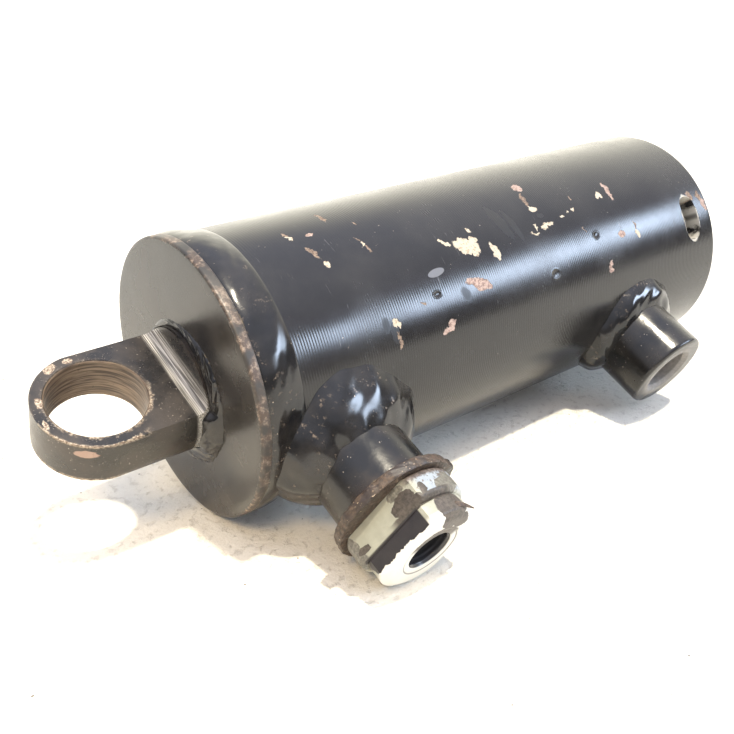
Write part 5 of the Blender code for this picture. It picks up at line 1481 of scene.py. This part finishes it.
def sky(world):
    """Soft studio surround: brightness by height, with a cool window band to one side of the camera."""
    world.use_nodes = True
    s = Nodes(world.node_tree)
    background = s.tree.nodes["Background"]
    direction = s.node("ShaderNodeTexCoord").outputs["Generated"]
    x, y, z = s.node("ShaderNodeSeparateXYZ", {0: direction}).outputs
    height = s.math("ARCSINE", z)
    turn = s.math("ARCTAN2", y, x)

    def rise(value, low, high):
        """A smooth step over an angle in degrees."""
        return s.step(value, math.radians(low), math.radians(high))

    band = s.times(rise(height, 14, 19), rise(height, 29, 25))
    band = s.times(band, s.times(rise(turn, -66, -50), rise(turn, -18, -32)))
    warm = s.times(rise(turn, -20, 20), rise(turn, 140, 90))
    color = s.mix(rise(height, 8, 22), (0.34, 0.33, 0.34), (0.95, 0.98, 1.12))
    color = s.mix(rise(height, 25, 60), color, (1.5, 1.58, 1.9))
    color = s.mix(s.times(warm, rise(height, 50, 20)), color, (2.6, 2.5, 2.15))
    color = s.mix(band, color, (15.0, 18.0, 22.5))
    s.plug(background.inputs["Color"], color)
    background.inputs["Strength"].default_value = 1.0


FLOOR_HALF = 4.0
SUN_TURN = math.radians(293.0)
SUN_HEIGHT = math.radians(75.5)
FILL_PLACE = (-0.42, -0.22, 0.42)
FILL_AIM = (-0.172, -0.035, 0.0)
CAMERA_PLACE = (-0.16993, -0.17516, 0.14914)
CAMERA_TURN = (1.09884, 0.00137, -0.67126)
CAMERA_LENS = 43.0017


class CYLINDER_OT_stage(bpy.types.Operator):
    """Build the floor, the lights and the camera"""

    bl_idname = "cylinder.stage"
    bl_label = "Floor, light and camera"

    def execute(self, context):
        scene = context.scene
        look = scene.cylinder_look
        mesh = bpy.data.meshes.new("floor")
        corners = [(x * FLOOR_HALF, y * FLOOR_HALF, 0) for x, y in ((-1, -1), (1, -1), (1, 1), (-1, 1))]
        mesh.from_pydata(corners, [], [(0, 1, 2, 3)])
        floor = bpy.data.objects.new("floor", mesh)
        scene.collection.objects.link(floor)
        mesh.materials.append(floor_plaster("floor_plaster"))
        scene.world = bpy.data.worlds.new("studio")
        sky(scene.world)
        sun = bpy.data.lights.new("key", "SUN")
        sun.energy = look.sun_strength
        sun.color = look.sun_color
        sun.angle = math.radians(3.0)
        key = bpy.data.objects.new("key", sun)
        flat = math.cos(SUN_HEIGHT)
        towards = Vector((flat * math.cos(SUN_TURN), flat * math.sin(SUN_TURN), math.sin(SUN_HEIGHT)))
        key.rotation_euler = towards.to_track_quat("Z", "Y").to_euler()
        scene.collection.objects.link(key)
        glow = bpy.data.lights.new("warm_fill", "SPOT")
        glow.energy = look.fill_strength
        glow.color = (1.0, 0.72, 0.36)
        glow.spot_size = math.radians(26.0)
        glow.spot_blend = 1.0
        glow.shadow_soft_size = 0.12
        fill = bpy.data.objects.new("warm_fill", glow)
        fill.location = FILL_PLACE
        aim = Vector(FILL_AIM) - fill.location
        fill.rotation_euler = aim.to_track_quat("-Z", "Y").to_euler()
        scene.collection.objects.link(fill)
        lens = bpy.data.cameras.new("camera")
        lens.lens = CAMERA_LENS
        lens.sensor_width = 36.0
        lens.clip_start = 0.01
        camera = bpy.data.objects.new("camera", lens)
        camera.location = CAMERA_PLACE
        camera.rotation_euler = CAMERA_TURN
        scene.collection.objects.link(camera)
        scene.camera = camera
        scene.view_settings.view_transform = "Standard"
        return {"FINISHED"}


class CYLINDER_PT_looks(bpy.types.Panel):
    """Lists the pieces of the cylinder"""

    bl_idname = "CYLINDER_PT_looks"
    bl_label = "Hydraulic cylinder"
    bl_space_type = "VIEW_3D"
    bl_region_type = "UI"
    bl_category = "Cylinder"

    def draw(self, context):
        look = context.scene.cylinder_look
        for name in ("chip_amount", "weld_crown", "sun_strength", "fill_strength", "sun_color", "seal_color"):
            self.layout.prop(look, name)
        for operator in OPERATORS:
            self.layout.operator(operator.bl_idname)


OPERATORS = (CYLINDER_OT_barrel, CYLINDER_OT_lug, CYLINDER_OT_welds, CYLINDER_OT_ports, CYLINDER_OT_rod_end,
             CYLINDER_OT_stage)
CLASSES = (CylinderLook,) + OPERATORS + (CYLINDER_PT_looks,)


def register():
    """Make the classes known to Blender."""
    for item in CLASSES:
        bpy.utils.register_class(item)
    bpy.types.Scene.cylinder_look = bpy.props.PointerProperty(type=CylinderLook)


def unregister():
    """Take the classes out again."""
    del bpy.types.Scene.cylinder_look
    for item in reversed(CLASSES):
        bpy.utils.unregister_class(item)


def main():
    """Run every operator in order."""
    register()
    bpy.ops.cylinder.barrel()
    bpy.ops.cylinder.lug()
    bpy.ops.cylinder.welds()
    bpy.ops.cylinder.ports()
    bpy.ops.cylinder.rod_end()
    bpy.ops.cylinder.stage()


if __name__ == "__main__":
    main()
